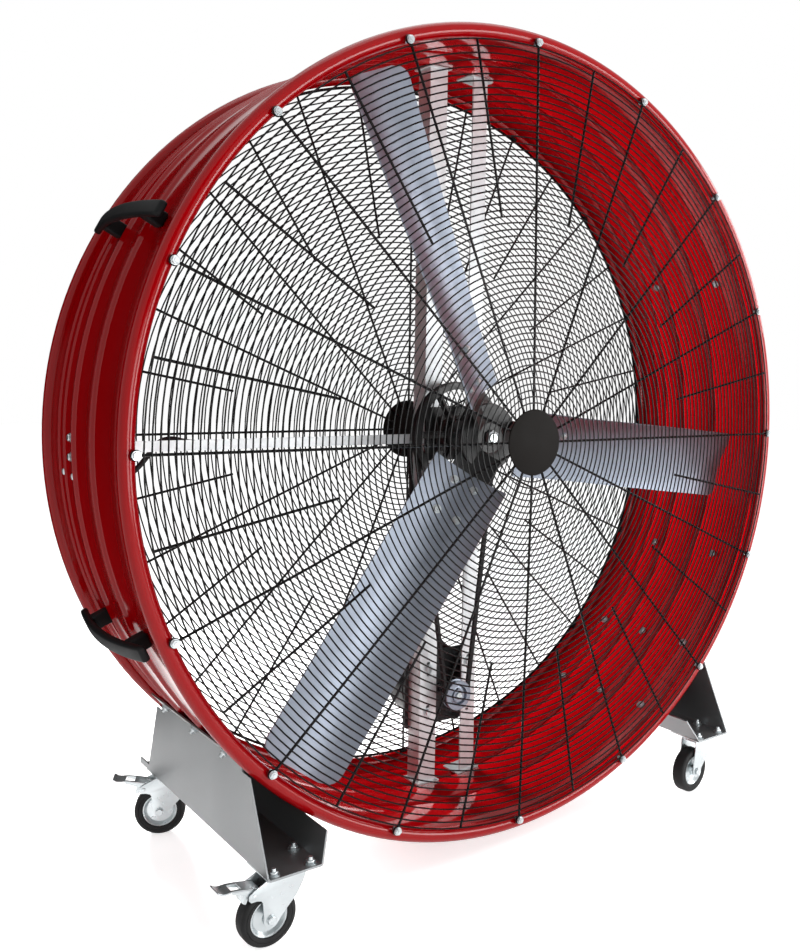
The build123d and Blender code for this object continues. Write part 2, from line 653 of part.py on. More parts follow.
def at_motor(forward):
    """A plane across the motor axis, this far forward of the drum's middle."""
    return MOTOR.offset(forward)


def tension_bolt_places():
    """The four tension bolts, from the motor axis."""
    return [(x - MOTOR_X, height) for x in MOTOR_BOLT_XS for height in MOTOR_BOLT_HEIGHTS]


with BuildPart() as motor_plate:
    with BuildSketch(at_motor(MOTOR_FACE)):
        RectangleRounded(MOTOR_PLATE_WIDTH, MOTOR_PLATE_HEIGHT, MOTOR_PLATE_THICKNESS * 2)
        RegularPolygon(radius=MOTOR_SHAFT_RADIUS * 2, side_count=PIN_SIDES, mode=Mode.SUBTRACT)
        with Locations(*tension_bolt_places()):
            RegularPolygon(radius=MOTOR_BOLT_RADIUS + SEAT_GAP, side_count=6, mode=Mode.SUBTRACT)
    extrude(amount=MOTOR_PLATE_THICKNESS)
save(motor_plate.part, "motor_plate")

with BuildPart() as motor_bolts:
    with BuildSketch(at_motor(MOTOR_FACE)):
        with Locations(*tension_bolt_places()):
            RegularPolygon(radius=MOTOR_BOLT_RADIUS, side_count=6)
    extrude(amount=UPRIGHT_FORWARD - MOTOR_FACE)
    with BuildSketch(at_motor(UPRIGHT_FORWARD)):
        with Locations(*tension_bolt_places()):
            RegularPolygon(radius=MOTOR_BOLT_HEAD, side_count=6)
    extrude(amount=GUARD_BOLT_HEIGHT)
save(motor_bolts.part, "motor_bolts")

MOTOR_BORE_DEPTH = MOTOR_LENGTH / 2
with BuildPart() as motor_body:
    with BuildSketch(at_motor(MOTOR_FACE)):
        RegularPolygon(radius=MOTOR_RADIUS, side_count=MOTOR_SIDES)
    extrude(amount=-MOTOR_LENGTH)
    with BuildSketch(at_motor(MOTOR_FACE)):
        Circle(MOTOR_SHAFT_RADIUS + RUNNING_FIT)
    extrude(amount=-MOTOR_BORE_DEPTH, mode=Mode.SUBTRACT)
save(motor_body.part, "motor_body")

with BuildPart() as motor_end_bell:
    with BuildSketch(at_motor(MOTOR_FACE - MOTOR_LENGTH)):
        RegularPolygon(radius=MOTOR_RADIUS - MOTOR_PLATE_THICKNESS, side_count=MOTOR_SIDES)
    extrude(amount=-MOTOR_BELL)
    chamfer(motor_end_bell.faces().sort_by(Axis.Y)[-1].edges(), MOTOR_BELL_EDGE)
save(motor_end_bell.part, "motor_end_bell")

with BuildPart() as terminal_box:
    with BuildSketch(at_motor(MOTOR_FACE - MOTOR_BELL)):
        with BuildLine():
            Polyline(
                (TERMINAL_LEFT, 0),
                (TERMINAL_LEFT, TERMINAL_TOP),
                (TERMINAL_RIGHT - TERMINAL_SLOPE, TERMINAL_TOP),
                (TERMINAL_RIGHT, TERMINAL_TOP - TERMINAL_SLOPE),
                (TERMINAL_RIGHT, 0),
                close=True,
            )
        make_face()
        Circle(MOTOR_RADIUS + SEAT_GAP, mode=Mode.SUBTRACT)
    extrude(amount=-TERMINAL_DEPTH)
save(terminal_box.part, "terminal_box")

with BuildPart() as motor_shaft:
    with BuildSketch(at_motor(MOTOR_FACE - MOTOR_BORE_DEPTH + SEAT_GAP)):
        Circle(MOTOR_SHAFT_RADIUS)
    extrude(amount=MOTOR_SHAFT_FRONT - MOTOR_FACE + MOTOR_BORE_DEPTH - SEAT_GAP)
save(motor_shaft.part, "motor_shaft")

with BuildPart() as motor_pulley:
    for start, depth, outer, inner, sides in grooved_rim(MOTOR_PULLEY_RADIUS, MOTOR_PULLEY_RIM, HUB_SIDES):
        with BuildSketch(at_motor(PULLEY_REAR + start)):
            RegularPolygon(radius=outer, side_count=sides)
        extrude(amount=depth)
    with BuildSketch(at_motor(PULLEY_REAR)):
        Circle(MOTOR_SHAFT_RADIUS + RUNNING_FIT)
    extrude(amount=PULLEY_WIDTH, mode=Mode.SUBTRACT)
save(motor_pulley.part, "motor_pulley")

# The belt runs straight between the two grooves, square to these radii
BELT_SPAN = hypot(MOTOR_X, MOTOR_DROP)
BELT_LEAN = degrees(atan2(-MOTOR_DROP, MOTOR_X))
BELT_SPREAD = degrees(acos((GROOVE_RADIUS - MOTOR_GROOVE_RADIUS) / BELT_SPAN))
with BuildPart() as v_belt:
    with BuildSketch(FAN.offset(PULLEY_FORWARD - BELT_WIDTH / 2)):
        for lift, mode in ((BELT_HEIGHT, Mode.ADD), (0, Mode.SUBTRACT)):
            with BuildLine():
                big = CenterArc(
                    (0, 0),
                    GROOVE_RADIUS + BELT_CLEARANCE + lift,
                    BELT_LEAN + BELT_SPREAD,
                    360 - 2 * BELT_SPREAD,
                )
                small = CenterArc(
                    (MOTOR_X, -MOTOR_DROP),
                    MOTOR_GROOVE_RADIUS + BELT_CLEARANCE + lift,
                    BELT_LEAN - BELT_SPREAD,
                    2 * BELT_SPREAD,
                )
                Line(big @ 1, small @ 0)
                Line(small @ 1, big @ 0)
            make_face(mode=mode)
    extrude(amount=BELT_WIDTH)
save(v_belt.part, "v_belt")


# ======================= supply cable =======================


def in_drum(x, behind, up):
    """A point from the drum's middle: right of it, behind it and above it."""
    return Vector(x, behind, AXIS_HEIGHT + up)


def bend_radii(points):
    """The radius of each bend of a cable, as large as its runs leave room for."""
    radii = []
    for before, at, after in zip(points, points[1:], points[2:]):
        turn = radians((at - before).get_angle(after - at))
        room = CABLE_BEND_SHARE * min((at - before).length, (after - at).length) / tan(turn / 2)
        radii.append(min(room, CABLE_BEND))
    return radii


GLAND_X = -sqrt(BORE_RADIUS**2 - GLAND_DROP**2) + GLAND_LENGTH
ON_BAR = SIDE_BAR_WALL - SIDE_BAR_DROP + CABLE_RADIUS + SEAT_GAP
ALONG_BAR = -UPRIGHT_FORWARD + SIDE_BAR_WALL + CABLE_RADIUS + SEAT_GAP
BEHIND_BAR = ALONG_BAR + CABLE_BEHIND_BAR
BESIDE_POST = POST_LEFT - CABLE_RADIUS - SEAT_GAP
TERMINAL_INLET = CABLE_ENTRY - MOTOR_DROP
cable_points = [
    in_drum(GLAND_X - GLAND_LENGTH / 2, -GLAND_FORWARD, -GLAND_DROP),
    *(in_drum(GLAND_X + x, y, up) for x, y, up in CABLE_RISE),
    in_drum(GLAND_X + CABLE_ON_BAR, ALONG_BAR, ON_BAR),
    in_drum(POST_LEFT - CABLE_OFF_BAR, ALONG_BAR, ON_BAR),
    in_drum(BESIDE_POST, BEHIND_BAR, ON_BAR),
    *(in_drum(BESIDE_POST + x, BEHIND_BAR + y, TERMINAL_INLET + up) for x, y, up in CABLE_FALL),
    in_drum(MOTOR_X + TERMINAL_LEFT, -MOTOR_FACE + MOTOR_BELL + TERMINAL_DEPTH / 2, TERMINAL_INLET),
]
cable_radii = bend_radii(cable_points)
print("cable bend radii", [round(radius) for radius in cable_radii])

with BuildPart() as power_cable:
    with BuildLine() as cable_route:
        FilletPolyline(*cable_points, radius=cable_radii)
    with BuildSketch(Plane(origin=cable_route.line @ 0, z_dir=cable_route.line % 0)):
        RegularPolygon(radius=CABLE_RADIUS, side_count=CABLE_SIDES)
    sweep()
route_length = sum(edge.length for edge in cable_route.line.edges())
section_area = CABLE_SIDES / 2 * CABLE_RADIUS**2 * sin(2 * pi / CABLE_SIDES)
volume_ratio = power_cable.part.volume / route_length / section_area
print("cable length", round(route_length), "volume ratio", round(volume_ratio, 3))
save(power_cable.part, "power_cable")

with BuildPart() as cable_gland:
    gland_mouth = in_drum(GLAND_X, -GLAND_FORWARD, -GLAND_DROP)
    gland_bore = (CABLE_RADIUS + RUNNING_FIT) / cos(pi / GLAND_SIDES)
    with BuildSketch(Plane(origin=gland_mouth, x_dir=(0, 1, 0), z_dir=(-1, 0, 0))):
        ring_polygon(GLAND_RADIUS, gland_bore, GLAND_SIDES)
    extrude(amount=GLAND_LENGTH)
    trim_to_drum(BORE_RADIUS - SEAT_GAP)
save(cable_gland.part, "cable_gland")

with BuildPart() as cable_clips:
    bore = 2 * (CABLE_RADIUS + RUNNING_FIT)
    seated = 2 * (CABLE_RADIUS + SEAT_GAP) + CLIP_WALL
    for along in BAR_CLIPS:
        seat = in_drum(GLAND_X + along, ALONG_BAR, ON_BAR)
        with BuildSketch(Plane(origin=seat, x_dir=(0, 1, 0), z_dir=(1, 0, 0))):
            with Locations((CLIP_WALL / 2, CLIP_WALL / 2)):
                Rectangle(seated, seated)
            Rectangle(bore, bore, mode=Mode.SUBTRACT)
        extrude(amount=CABLE_CLIP_LENGTH)
    for drop in POST_CLIP_DROPS:
        with BuildSketch(Plane(origin=in_drum(BESIDE_POST, BEHIND_BAR, -drop), z_dir=(0, 0, 1))):
            with Locations((-CLIP_WALL / 2, 0)):
                Rectangle(seated, bore + 2 * CLIP_WALL)
            Rectangle(bore, bore, mode=Mode.SUBTRACT)
        extrude(amount=CABLE_CLIP_LENGTH)
save(cable_clips.part, "cable_clips")


# ======================= grips =======================

GRIP_ANGLES = {
    "left_upper": 180 - GRIP_ANGLE_UPPER,
    "left_lower": 180 + GRIP_ANGLE_LOWER,
    "right_upper": GRIP_ANGLE_UPPER,
    "right_lower": -GRIP_ANGLE_LOWER,
}


def on_drum(angle, forward, radius):
    """Tangent to the drum at this radius, with z pointing outwards."""
    across = radial_plane(angle, forward)
    return Plane(origin=across.origin + across.x_dir * radius, x_dir=(0, -1, 0), z_dir=across.x_dir)


def carrying_grip(angle):
    """A bowed handle on two legs that stand on the drum."""
    seat = BODY_RADIUS + SEAT_GAP
    with BuildPart() as handle:
        with BuildSketch(radial_plane(angle, GRIP_FORWARD)):
            with BuildLine():
                ends = [(BODY_RADIUS + GRIP_END_HEIGHT, side * GRIP_LENGTH / 2) for side in (-1, 1)]
                crown = BODY_RADIUS + GRIP_HEIGHT
                outer = ThreePointArc(ends[0], (crown, 0), ends[1])
                lowered = [(x - GRIP_THICKNESS, y) for x, y in ends]
                inner = ThreePointArc(lowered[0], (crown - GRIP_THICKNESS, 0), lowered[1])
                Line(outer @ 0, inner @ 0)
                Line(outer @ 1, inner @ 1)
            make_face()
            with Locations((seat, -GRIP_LEG_SPACING / 2), (seat, GRIP_LEG_SPACING / 2)):
                Rectangle(GRIP_END_HEIGHT, GRIP_LEG_LENGTH, align=(Align.MIN, Align.CENTER))
        extrude(amount=GRIP_WIDTH / 2, both=True)
        chamfer(handle.edges().filter_by(GeomType.CIRCLE).sort_by(SortBy.LENGTH)[-2:], GRIP_EDGE)
    return handle.part


for place, angle in GRIP_ANGLES.items():
    save(carrying_grip(angle), f"grip_{place}")

with BuildPart() as grip_bolts:
    for angle in GRIP_ANGLES.values():
        for side in (-1, 1):
            forward = GRIP_FORWARD + side * GRIP_LEG_SPACING / 2
            with BuildSketch(on_drum(angle, forward, BORE_RADIUS - SEAT_GAP)):
                RegularPolygon(radius=WALL_BOLT_HEAD, side_count=6)
            extrude(amount=-WALL_BOLT_HEIGHT)
save(grip_bolts.part, "grip_bolts")

with BuildPart() as frame_bolts:
    for angle in pad_angles():
        for side in (-1, 1):
            turn = degrees(side * FRAME_BOLT_SPACING / 2 / BODY_RADIUS)
            with BuildSketch(on_drum(angle + turn, FRAME_BOLT_FORWARD, BODY_RADIUS + SEAT_GAP)):
                RegularPolygon(radius=WALL_BOLT_HEAD, side_count=6)
            extrude(amount=WALL_BOLT_HEIGHT)
save(frame_bolts.part, "frame_bolts")


# ======================= feet =======================

BASE_TOP = FOOT_BASE_HEIGHT + FOOT_SHEET - AXIS_HEIGHT


def at_flange(x):
    """The point below the axis where a foot's wall meets its flange."""
    return (x, -sqrt(FLANGE_RADIUS**2 - x**2))


def flange_end(x, direction):
    """The end of a flange that lies along the drum from this wall."""
    start = atan2(at_flange(x)[1], x)
    end = start + direction * FLANGE_WIDTH / FLANGE_RADIUS
    return (FLANGE_RADIUS * cos(end), FLANGE_RADIUS * sin(end))


OUTER_FACE = FOOT_OUTER_X - FOOT_SHEET
INNER_FACE = FOOT_INNER_X + FOOT_SHEET
SHOULDER_Z = AXIS_HEIGHT - sqrt(RIM_RADIUS**2 - FOOT_OUTER_X**2)
with BuildPart() as right_foot:
    with BuildSketch(FAN.offset(FOOT_REAR)):
        with BuildLine():
            FilletPolyline(
                flange_end(OUTER_FACE, 1),
                at_flange(OUTER_FACE),
                (OUTER_FACE, BASE_TOP),
                (INNER_FACE, BASE_TOP),
                at_flange(FOOT_INNER_TOP_X),
                flange_end(FOOT_INNER_TOP_X, -1),
                radius=FOOT_SHEET,
            )
            offset(amount=FOOT_SHEET, side=Side.LEFT)
        make_face()
    extrude(amount=FOOT_FRONT - FOOT_REAR)
    with BuildSketch(Plane.YZ):
        with BuildLine():
            Polyline(
                (-FOOT_FRONT, FOOT_BASE_HEIGHT),
                (-FOOT_SHOULDER_HALF, SHOULDER_Z),
                (-FOOT_SHOULDER_HALF, AXIS_HEIGHT),
                (FOOT_SHOULDER_HALF, AXIS_HEIGHT),
                (FOOT_SHOULDER_HALF, SHOULDER_Z),
                (-FOOT_REAR - FOOT_LIP_LENGTH, FOOT_BASE_HEIGHT + FOOT_LIP_HEIGHT),
                (-FOOT_REAR, FOOT_BASE_HEIGHT + FOOT_LIP_HEIGHT),
                (-FOOT_REAR, FOOT_BASE_HEIGHT),
                close=True,
            )
        make_face()
    extrude(amount=RIM_RADIUS, mode=Mode.INTERSECT)
    for side in (-1, 1):
        with BuildSketch(FAN.offset(side * FOOT_TOP_HALF)):
            Circle(RIM_RADIUS + FOOT_SHEET)
        extrude(amount=side * RIM_SPACING, mode=Mode.SUBTRACT)
save(right_foot.part, "foot_right")

with BuildPart() as left_foot:
    mirror(right_foot.part, about=Plane.YZ)
save(left_foot.part, "foot_left")

FLANGE_BOLT_ANGLES = [
    degrees(atan2(at_flange(x)[1], x) + direction * FLANGE_WIDTH / 2 / FLANGE_RADIUS)
    for x, direction in ((OUTER_FACE, 1), (FOOT_INNER_TOP_X, -1))
]
with BuildPart() as foot_bolts:
    for right_angle in FLANGE_BOLT_ANGLES:
        for angle in (right_angle, 180 - right_angle):
            for forward in FLANGE_BOLT_FORWARD:
                outside = on_drum(angle, forward, FLANGE_RADIUS + FOOT_SHEET + SEAT_GAP)
                inside = on_drum(angle, forward, BORE_RADIUS - SEAT_GAP)
                for seat, height in ((outside, WALL_BOLT_HEIGHT), (inside, -WALL_BOLT_HEIGHT)):
                    with BuildSketch(seat):
                        RegularPolygon(radius=WALL_BOLT_HEAD, side_count=6)
                    extrude(amount=height)
save(foot_bolts.part, "foot_bolts")


# ======================= casters =======================


def caster_place(place):
    """The swivel axis on the floor."""
    side = -1 if place.endswith("left") else 1
    end = -1 if place.startswith("front") else 1
    return Vector(side * CASTER_X, end * CASTER_Y, 0)


def caster_side(place, lateral=0.0):
    """Through a caster: x trails behind the swivel axis, y is up and z points across."""
    yaw = radians(CASTER_YAW[place])
    trail = Vector(-cos(yaw), -sin(yaw), 0)
    across = trail.cross(Vector(0, 0, 1))
    return Plane(origin=caster_place(place) + across * lateral, x_dir=trail, z_dir=across)


def caster_level(place, height):
    """Level with the floor, with x trailing behind the swivel axis."""
    across = caster_side(place)
    return Plane(origin=caster_place(place) + Vector(0, 0, height), x_dir=across.x_dir, z_dir=(0, 0, 1))


def fork(place):
    """A swivelling crown with two arms and the axle. Braked casters have a wing for the pedal's pin."""
    outside = FORK_GAP / 2 + FORK_SHEET
    with BuildPart() as body:
        with BuildSketch(caster_level(place, FORK_TOP - FORK_SHEET)):
            with Locations(((FORK_FRONT + FORK_BACK) / 2, 0)):
                Rectangle(FORK_BACK - FORK_FRONT, 2 * outside)
            Circle(KING_PIN_RADIUS + RUNNING_FIT, mode=Mode.SUBTRACT)
        extrude(amount=FORK_SHEET)
        for lateral in (-outside, FORK_GAP / 2):
            with BuildSketch(caster_side(place, lateral)):
                with BuildLine():
                    Polyline(
                        (FORK_FRONT, FORK_TOP),
                        (FORK_FRONT, FORK_TOP - FORK_SKIRT),
                        (CASTER_TRAIL - FORK_BOSS, WHEEL_RADIUS),
                        (CASTER_TRAIL + FORK_BOSS, WHEEL_RADIUS),
                        *arm_back(place),
                        close=True,
                    )
                make_face()
                with Locations((CASTER_TRAIL, WHEEL_RADIUS)):
                    RegularPolygon(radius=FORK_BOSS, side_count=WHEEL_SIDES // 2)
            extrude(amount=FORK_SHEET)
        if place in BRAKED:
            with BuildSketch(caster_side(place, -outside)):
                with Locations(PEDAL_PIN):
                    RegularPolygon(radius=PEDAL_PIN_RADIUS, side_count=PIN_SIDES)
            extrude(amount=2 * outside)
        with BuildSketch(caster_side(place, -outside)):
            with Locations((CASTER_TRAIL, WHEEL_RADIUS)):
                RegularPolygon(radius=AXLE_RADIUS, side_count=PIN_SIDES)
        extrude(amount=2 * outside)
        for side in (-1, 1):
            with BuildSketch(caster_side(place, side * outside)):
                with Locations((CASTER_TRAIL, WHEEL_RADIUS)):
                    RegularPolygon(radius=AXLE_HEAD, side_count=6)
            extrude(amount=side * AXLE_HEAD_HEIGHT)
    return body.part


def arm_back(place):
    """The rear edge of a fork's arm, from the axle boss up to the crown."""
    if place not in BRAKED:
        return [(FORK_BACK, WHEEL_TOP - FORK_SKIRT), (FORK_BACK, FORK_TOP)]
    pin_x, pin_z = PEDAL_PIN
    return [
        (FORK_BACK + PEDAL_BOSS, WHEEL_TOP - FORK_SKIRT),
        (pin_x + PEDAL_BOSS, pin_z - PEDAL_BOSS),
        (pin_x + PEDAL_BOSS, pin_z + PEDAL_BOSS),
        (FORK_BACK, FORK_TOP),
    ]


def brake_pedal(place):
    """A pressed pedal with a window, hung on the fork's pin, with a shoe above the tyre."""
    pin_x, pin_z = PEDAL_PIN
    with BuildPart() as pedal:
        with BuildSketch(caster_side(place)):
            with BuildLine():
                top = [(pin_x + x, pin_z + z) for x, z in PEDAL_LINE]
                Polyline(*top, *[(x, z - PEDAL_SHEET) for x, z in reversed(top)], close=True)
            make_face()
            with BuildLine():
                Polyline(*[(pin_x + x, pin_z + z) for x, z in SHOE_LINE], close=True)
            make_face()
            with Locations(PEDAL_PIN):
                RegularPolygon(radius=PEDAL_EAR, side_count=WHEEL_SIDES // 2)
                with Locations((0, PEDAL_EAR / 2)):
                    Rectangle(PEDAL_EAR, PEDAL_EAR)
        extrude(amount=PEDAL_WIDTH / 2, both=True)
        with BuildSketch(caster_level(place, pin_z + PEDAL_EAR)):
            with Locations((pin_x + PEDAL_WINDOW_X, 0)):
                Rectangle(PEDAL_WINDOW, PEDAL_WIDTH - PEDAL_WINDOW / 2)
        extrude(amount=WHEEL_TOP, mode=Mode.SUBTRACT)
        with BuildSketch(caster_side(place)):
            with Locations(PEDAL_PIN):
                Circle(PEDAL_PIN_RADIUS + RUNNING_FIT)
        extrude(amount=PEDAL_WIDTH, both=True, mode=Mode.SUBTRACT)
    return pedal.part


def wheel_polygon(radius, flat=False, sides=WHEEL_SIDES, mode=Mode.ADD):
    """A many-sided disc round the axle, standing on one of its flats."""
    with Locations((CASTER_TRAIL, WHEEL_RADIUS)):
        RegularPolygon(
            radius=radius, side_count=sides, major_radius=not flat, rotation=180 / sides, mode=mode
        )


for place in CASTER_YAW:
    save(fork(place), f"caster_fork_{place}")

    with BuildPart() as tyre:
        with BuildSketch(caster_side(place, -WHEEL_WIDTH / 2)):
            wheel_polygon(WHEEL_RADIUS, flat=True)
        extrude(amount=WHEEL_WIDTH)
        ends = tyre.faces().sort_by(Axis(tyre.part.center(), caster_side(place).z_dir))
        chamfer([*ends[0].edges(), *ends[-1].edges()], TREAD_EDGE)
        with BuildSketch(caster_side(place, -WHEEL_WIDTH / 2)):
            wheel_polygon(RIM_OUTSIDE)
        extrude(amount=WHEEL_WIDTH, mode=Mode.SUBTRACT)
    save(tyre.part, f"caster_tyre_{place}")

    with BuildPart() as wheel_rim:
        with BuildSketch(caster_side(place, -RIM_WIDTH / 2)):
            wheel_polygon(RIM_OUTSIDE)
        extrude(amount=RIM_WIDTH)
        for side in (-1, 1):
            with BuildSketch(caster_side(place, side * RIM_WEB / 2)):
                wheel_polygon(RIM_OUTSIDE - RIM_WEB)
            extrude(amount=side * RIM_WIDTH, mode=Mode.SUBTRACT)
        with BuildSketch(caster_side(place, -WHEEL_WIDTH / 2)):
            wheel_polygon(RIM_BOSS_RADIUS, sides=WHEEL_SIDES // 2)
        extrude(amount=WHEEL_WIDTH)
        with BuildSketch(caster_side(place)):
            with Locations((CASTER_TRAIL, WHEEL_RADIUS)):
                Circle(AXLE_RADIUS + RUNNING_FIT)
        extrude(amount=WHEEL_WIDTH, both=True, mode=Mode.SUBTRACT)
    save(wheel_rim.part, f"caster_rim_{place}")

for place in BRAKED:
    save(brake_pedal(place), f"brake_pedal_{place}")

plate_length, plate_width, plate_sheet = TOP_PLATE
with BuildPart() as caster_plates:
    for place in CASTER_YAW:
        with BuildSketch(Plane.XY.offset(PLATE_UNDERSIDE)):
            with Locations(caster_place(place)):
                Rectangle(plate_length, plate_width)
        extrude(amount=plate_sheet)
        with BuildSketch(Plane.XY.offset(KING_PIN_END)):
            with Locations(caster_place(place)):
                RegularPolygon(radius=KING_PIN_RADIUS, side_count=PIN_SIDES)
        extrude(amount=PLATE_UNDERSIDE - KING_PIN_END)
save(caster_plates.part, "caster_plates")

with BuildPart() as swivel_seals:
    for place in CASTER_YAW:
        with BuildSketch(Plane.XY.offset(RACE_UNDERSIDE)):
            with Locations(caster_place(place)):
                ring_polygon(RACE_RADIUS, KING_PIN_RADIUS + RUNNING_FIT, PIN_SIDES)
        extrude(amount=RACE_HEIGHT)
save(swivel_seals.part, "swivel_seals")

with BuildPart() as caster_bolts:
    for place in CASTER_YAW:
        with BuildSketch(Plane.XY.offset(FOOT_BASE_HEIGHT + FOOT_SHEET)):
            with Locations(caster_place(place)):
                with GridLocations(*CASTER_BOLT_SPACING, 2, 2):
                    RegularPolygon(radius=GUARD_BOLT_HEAD, side_count=6)
        extrude(amount=GUARD_BOLT_HEIGHT)
save(caster_bolts.part, "caster_bolts")
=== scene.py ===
"""Finished pieces of a large belt-driven drum fan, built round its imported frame.

Lengths are millimetres until a piece is finished, when its mesh is put in metres.
"Forward" is towards -Y, the side that the air leaves.
"""

from contextlib import contextmanager
from math import acos, asin, atan2, ceil, cos, degrees, pi, radians, sin, sqrt

import bmesh
import bpy
from bpy.props import FloatProperty, FloatVectorProperty, IntProperty, PointerProperty
from mathutils import Matrix, Vector


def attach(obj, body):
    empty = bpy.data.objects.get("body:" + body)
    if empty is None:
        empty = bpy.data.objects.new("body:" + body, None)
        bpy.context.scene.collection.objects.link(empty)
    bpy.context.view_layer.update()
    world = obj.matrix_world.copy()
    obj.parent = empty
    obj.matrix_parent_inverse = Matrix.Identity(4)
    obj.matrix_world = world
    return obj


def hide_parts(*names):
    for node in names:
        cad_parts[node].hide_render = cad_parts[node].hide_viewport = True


bl_info = {
    "name": "Drum fan",
    "version": (1, 0, 0),
    "blender": (4, 5, 0),
    "location": "3D View > Sidebar > Drum fan",
    "description": "Builds the finished pieces of a large belt-driven drum fan round its frame",
    "category": "Object",
}

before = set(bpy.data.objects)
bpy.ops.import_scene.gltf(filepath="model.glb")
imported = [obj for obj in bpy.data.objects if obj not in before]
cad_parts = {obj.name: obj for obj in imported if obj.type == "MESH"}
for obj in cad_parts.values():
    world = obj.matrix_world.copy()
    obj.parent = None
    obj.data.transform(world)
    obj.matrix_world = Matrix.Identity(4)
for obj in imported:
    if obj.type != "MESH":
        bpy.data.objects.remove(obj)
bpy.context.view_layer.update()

MM = 0.001                 # metres
STEPS = 48                 # round a small turned piece
WIRE_SIDES = 6

# ---- places shared by several pieces ----
AXIS_HEIGHT = 832.0
RIM_RADIUS = 800.0
RIM_CURL = 14.0
RIM_FORWARD = 210.0
SHEET = 2.5
BODY_RADIUS = RIM_RADIUS - RIM_CURL
BORE_RADIUS = BODY_RADIUS - SHEET
SEAT_GAP = 0.3
BOLT_CIRCLE = 776.5
SPOKES = 16
FRONT_GUARD = 226.5        # rear of the front guard's spokes
REAR_GUARD = -208.0
GUARD_DOME = 14.0
UPRIGHT_FORWARD = -45.0
POST_X = -42.0
ANGLE_BOLT_X = 67.0
PULLEY_FORWARD = -14.0
PULLEY_WIDTH = 18.0
PULLEY_RADIUS = 114.0
GROOVE_DEPTH = 10.0
BLADES = 3
BLADE_ANGLE = -6.0
MOTOR_X = 14.0
MOTOR_DROP = 584.0
MOTOR_FACE = -94.0
MOTOR_PULLEY_RADIUS = 33.5
CASTERS = {"front_left": 0.0, "front_right": 7.0, "rear_left": -26.0, "rear_right": -12.0}
BRAKED = ("front_left", "rear_left")
CASTER_X = 535.0
CASTER_Y = 245.0
CASTER_TRAIL = 32.0
WHEEL_RADIUS = 50.0

# x to the right, y up and z forward, from the middle of the drum
FAN = Matrix(((1, 0, 0, 0), (0, 0, -1, 0), (0, 1, 0, AXIS_HEIGHT), (0, 0, 0, 1)))
HERE = Matrix.Identity(4)
TURNED_OVER = Matrix.Rotation(pi, 4, "X")


# ======================= settings =======================


def linear(code):
    """An sRGB hex colour as linear RGBA."""
    parts = [int(code[place:place + 2], 16) / 255 for place in (0, 2, 4)]
    return (*[c / 12.92 if c <= 0.04045 else ((c + 0.055) / 1.055) ** 2.4 for c in parts], 1.0)


def colour_setting(name, description, code):
    """A colour that a user may change."""
    return FloatVectorProperty(
        name=name, description=description, subtype="COLOR", size=4, min=0.0, max=1.0, default=linear(code)
    )


def size_setting(name, description, millimetres):
    """A length that a user may change."""
    return FloatProperty(name=name, description=description, default=millimetres * MM, min=0.0, unit="LENGTH")


def power_setting(name, description, watts):
    """The power of a group of lamps, which a user may change."""
    return FloatProperty(name=name, description=description, default=watts, subtype="POWER")


class DRUMFAN_PG_finishes(bpy.types.PropertyGroup):
    enamel: colour_setting("Enamel", "Stoved enamel of the drum", "9C0006")
    guard: colour_setting("Guard coating", "Powder coating of the wire guards", "0B0B0C")
    steel: colour_setting("Galvanised steel", "Uprights, feet and hub nut", "DCE0E2")
    zinc: colour_setting("Zinc plating", "Casters, fasteners and shafts", "C6CCCE")
    aluminium: colour_setting("Blade aluminium", "Blades and motor pulley", "8C939F")
    castings: colour_setting("Casting paint", "Hub, bearings, driven pulley, motor and plates", "0C0D0E")
    moulded: colour_setting("Moulded plastic", "Grips, cable clips and gland", "141516")
    rubber: colour_setting("Rubber", "Tyres, belt and cable", "121213")
    seal: colour_setting("Seal polymer", "Dust seals of the casters", "C9281A")
    badge: colour_setting("Badge enamel", "Discs in the middle of the guards", "14110F")


class DRUMFAN_PG_sizes(bpy.types.PropertyGroup):
    ring_pitch: size_setting("Ring pitch", "From one ring of a guard to the next", 12.5)
    ring_wire: size_setting("Ring wire", "Diameter of a ring's wire", 3.0)
    spoke_wire: size_setting("Spoke wire", "Diameter of a spoke's wire", 5.0)
    swage_height: size_setting("Swage height", "How far the drum's round beads stand out", 6.0)
    blade_sheet: size_setting("Blade sheet", "Thickness of the blades", 3.0)
    grip_edge: size_setting("Grip rounding", "Radius along the grips' edges", 4.5)
    tread_edge: size_setting("Tread rounding", "Radius at the edges of a tyre", 6.0)
    drum_steps: IntProperty(name="Drum steps", description="Steps round the drum", default=192, min=48)


class DRUMFAN_PG_studio(bpy.types.PropertyGroup):
    floor: colour_setting("Floor", "Pale floor", "F2F2F2")
    key: power_setting("Key lamps", "What the front and back lamps take their shares of", 170.0)
    fill: power_setting("Fill lamps", "What the other lamps take their shares of", 70.0)
    ambient: FloatProperty(name="Ambient", description="Strength of the even light", default=0.52, min=0.0)


# ======================= finishes =======================


def add(tree, kind, inputs=None, **settings):
    """Adds a node. Its inputs are values, or other nodes' outputs to link."""
    node = tree.nodes.new(kind)
    for name, value in settings.items():
        setattr(node, name, value)
    for key, value in (inputs or {}).items():
        if isinstance(value, bpy.types.NodeSocket):
            tree.links.new(value, node.inputs[key])
        else:
            node.inputs[key].default_value = value
    return node


def darker(colour, share):
    """A linear colour taken towards black."""
    return (*[channel * share for channel in colour[:3]], 1.0)


def noise(tree, spot, grain, stretch, detail):
    """Soft noise with spots about this many millimetres across."""
    scale = [share / (grain * MM) for share in stretch]
    place = add(tree, "ShaderNodeMapping", {"Vector": spot, "Scale": scale})
    inputs = {"Vector": place.outputs[0], "Scale": 1.0, "Detail": detail}
    return add(tree, "ShaderNodeTexNoise", inputs).outputs[0]


def blend(tree, share, low, high):
    """A colour between two others."""
    return add(tree, "ShaderNodeMix", {0: share, 6: low, 7: high}, data_type="RGBA").outputs[2]


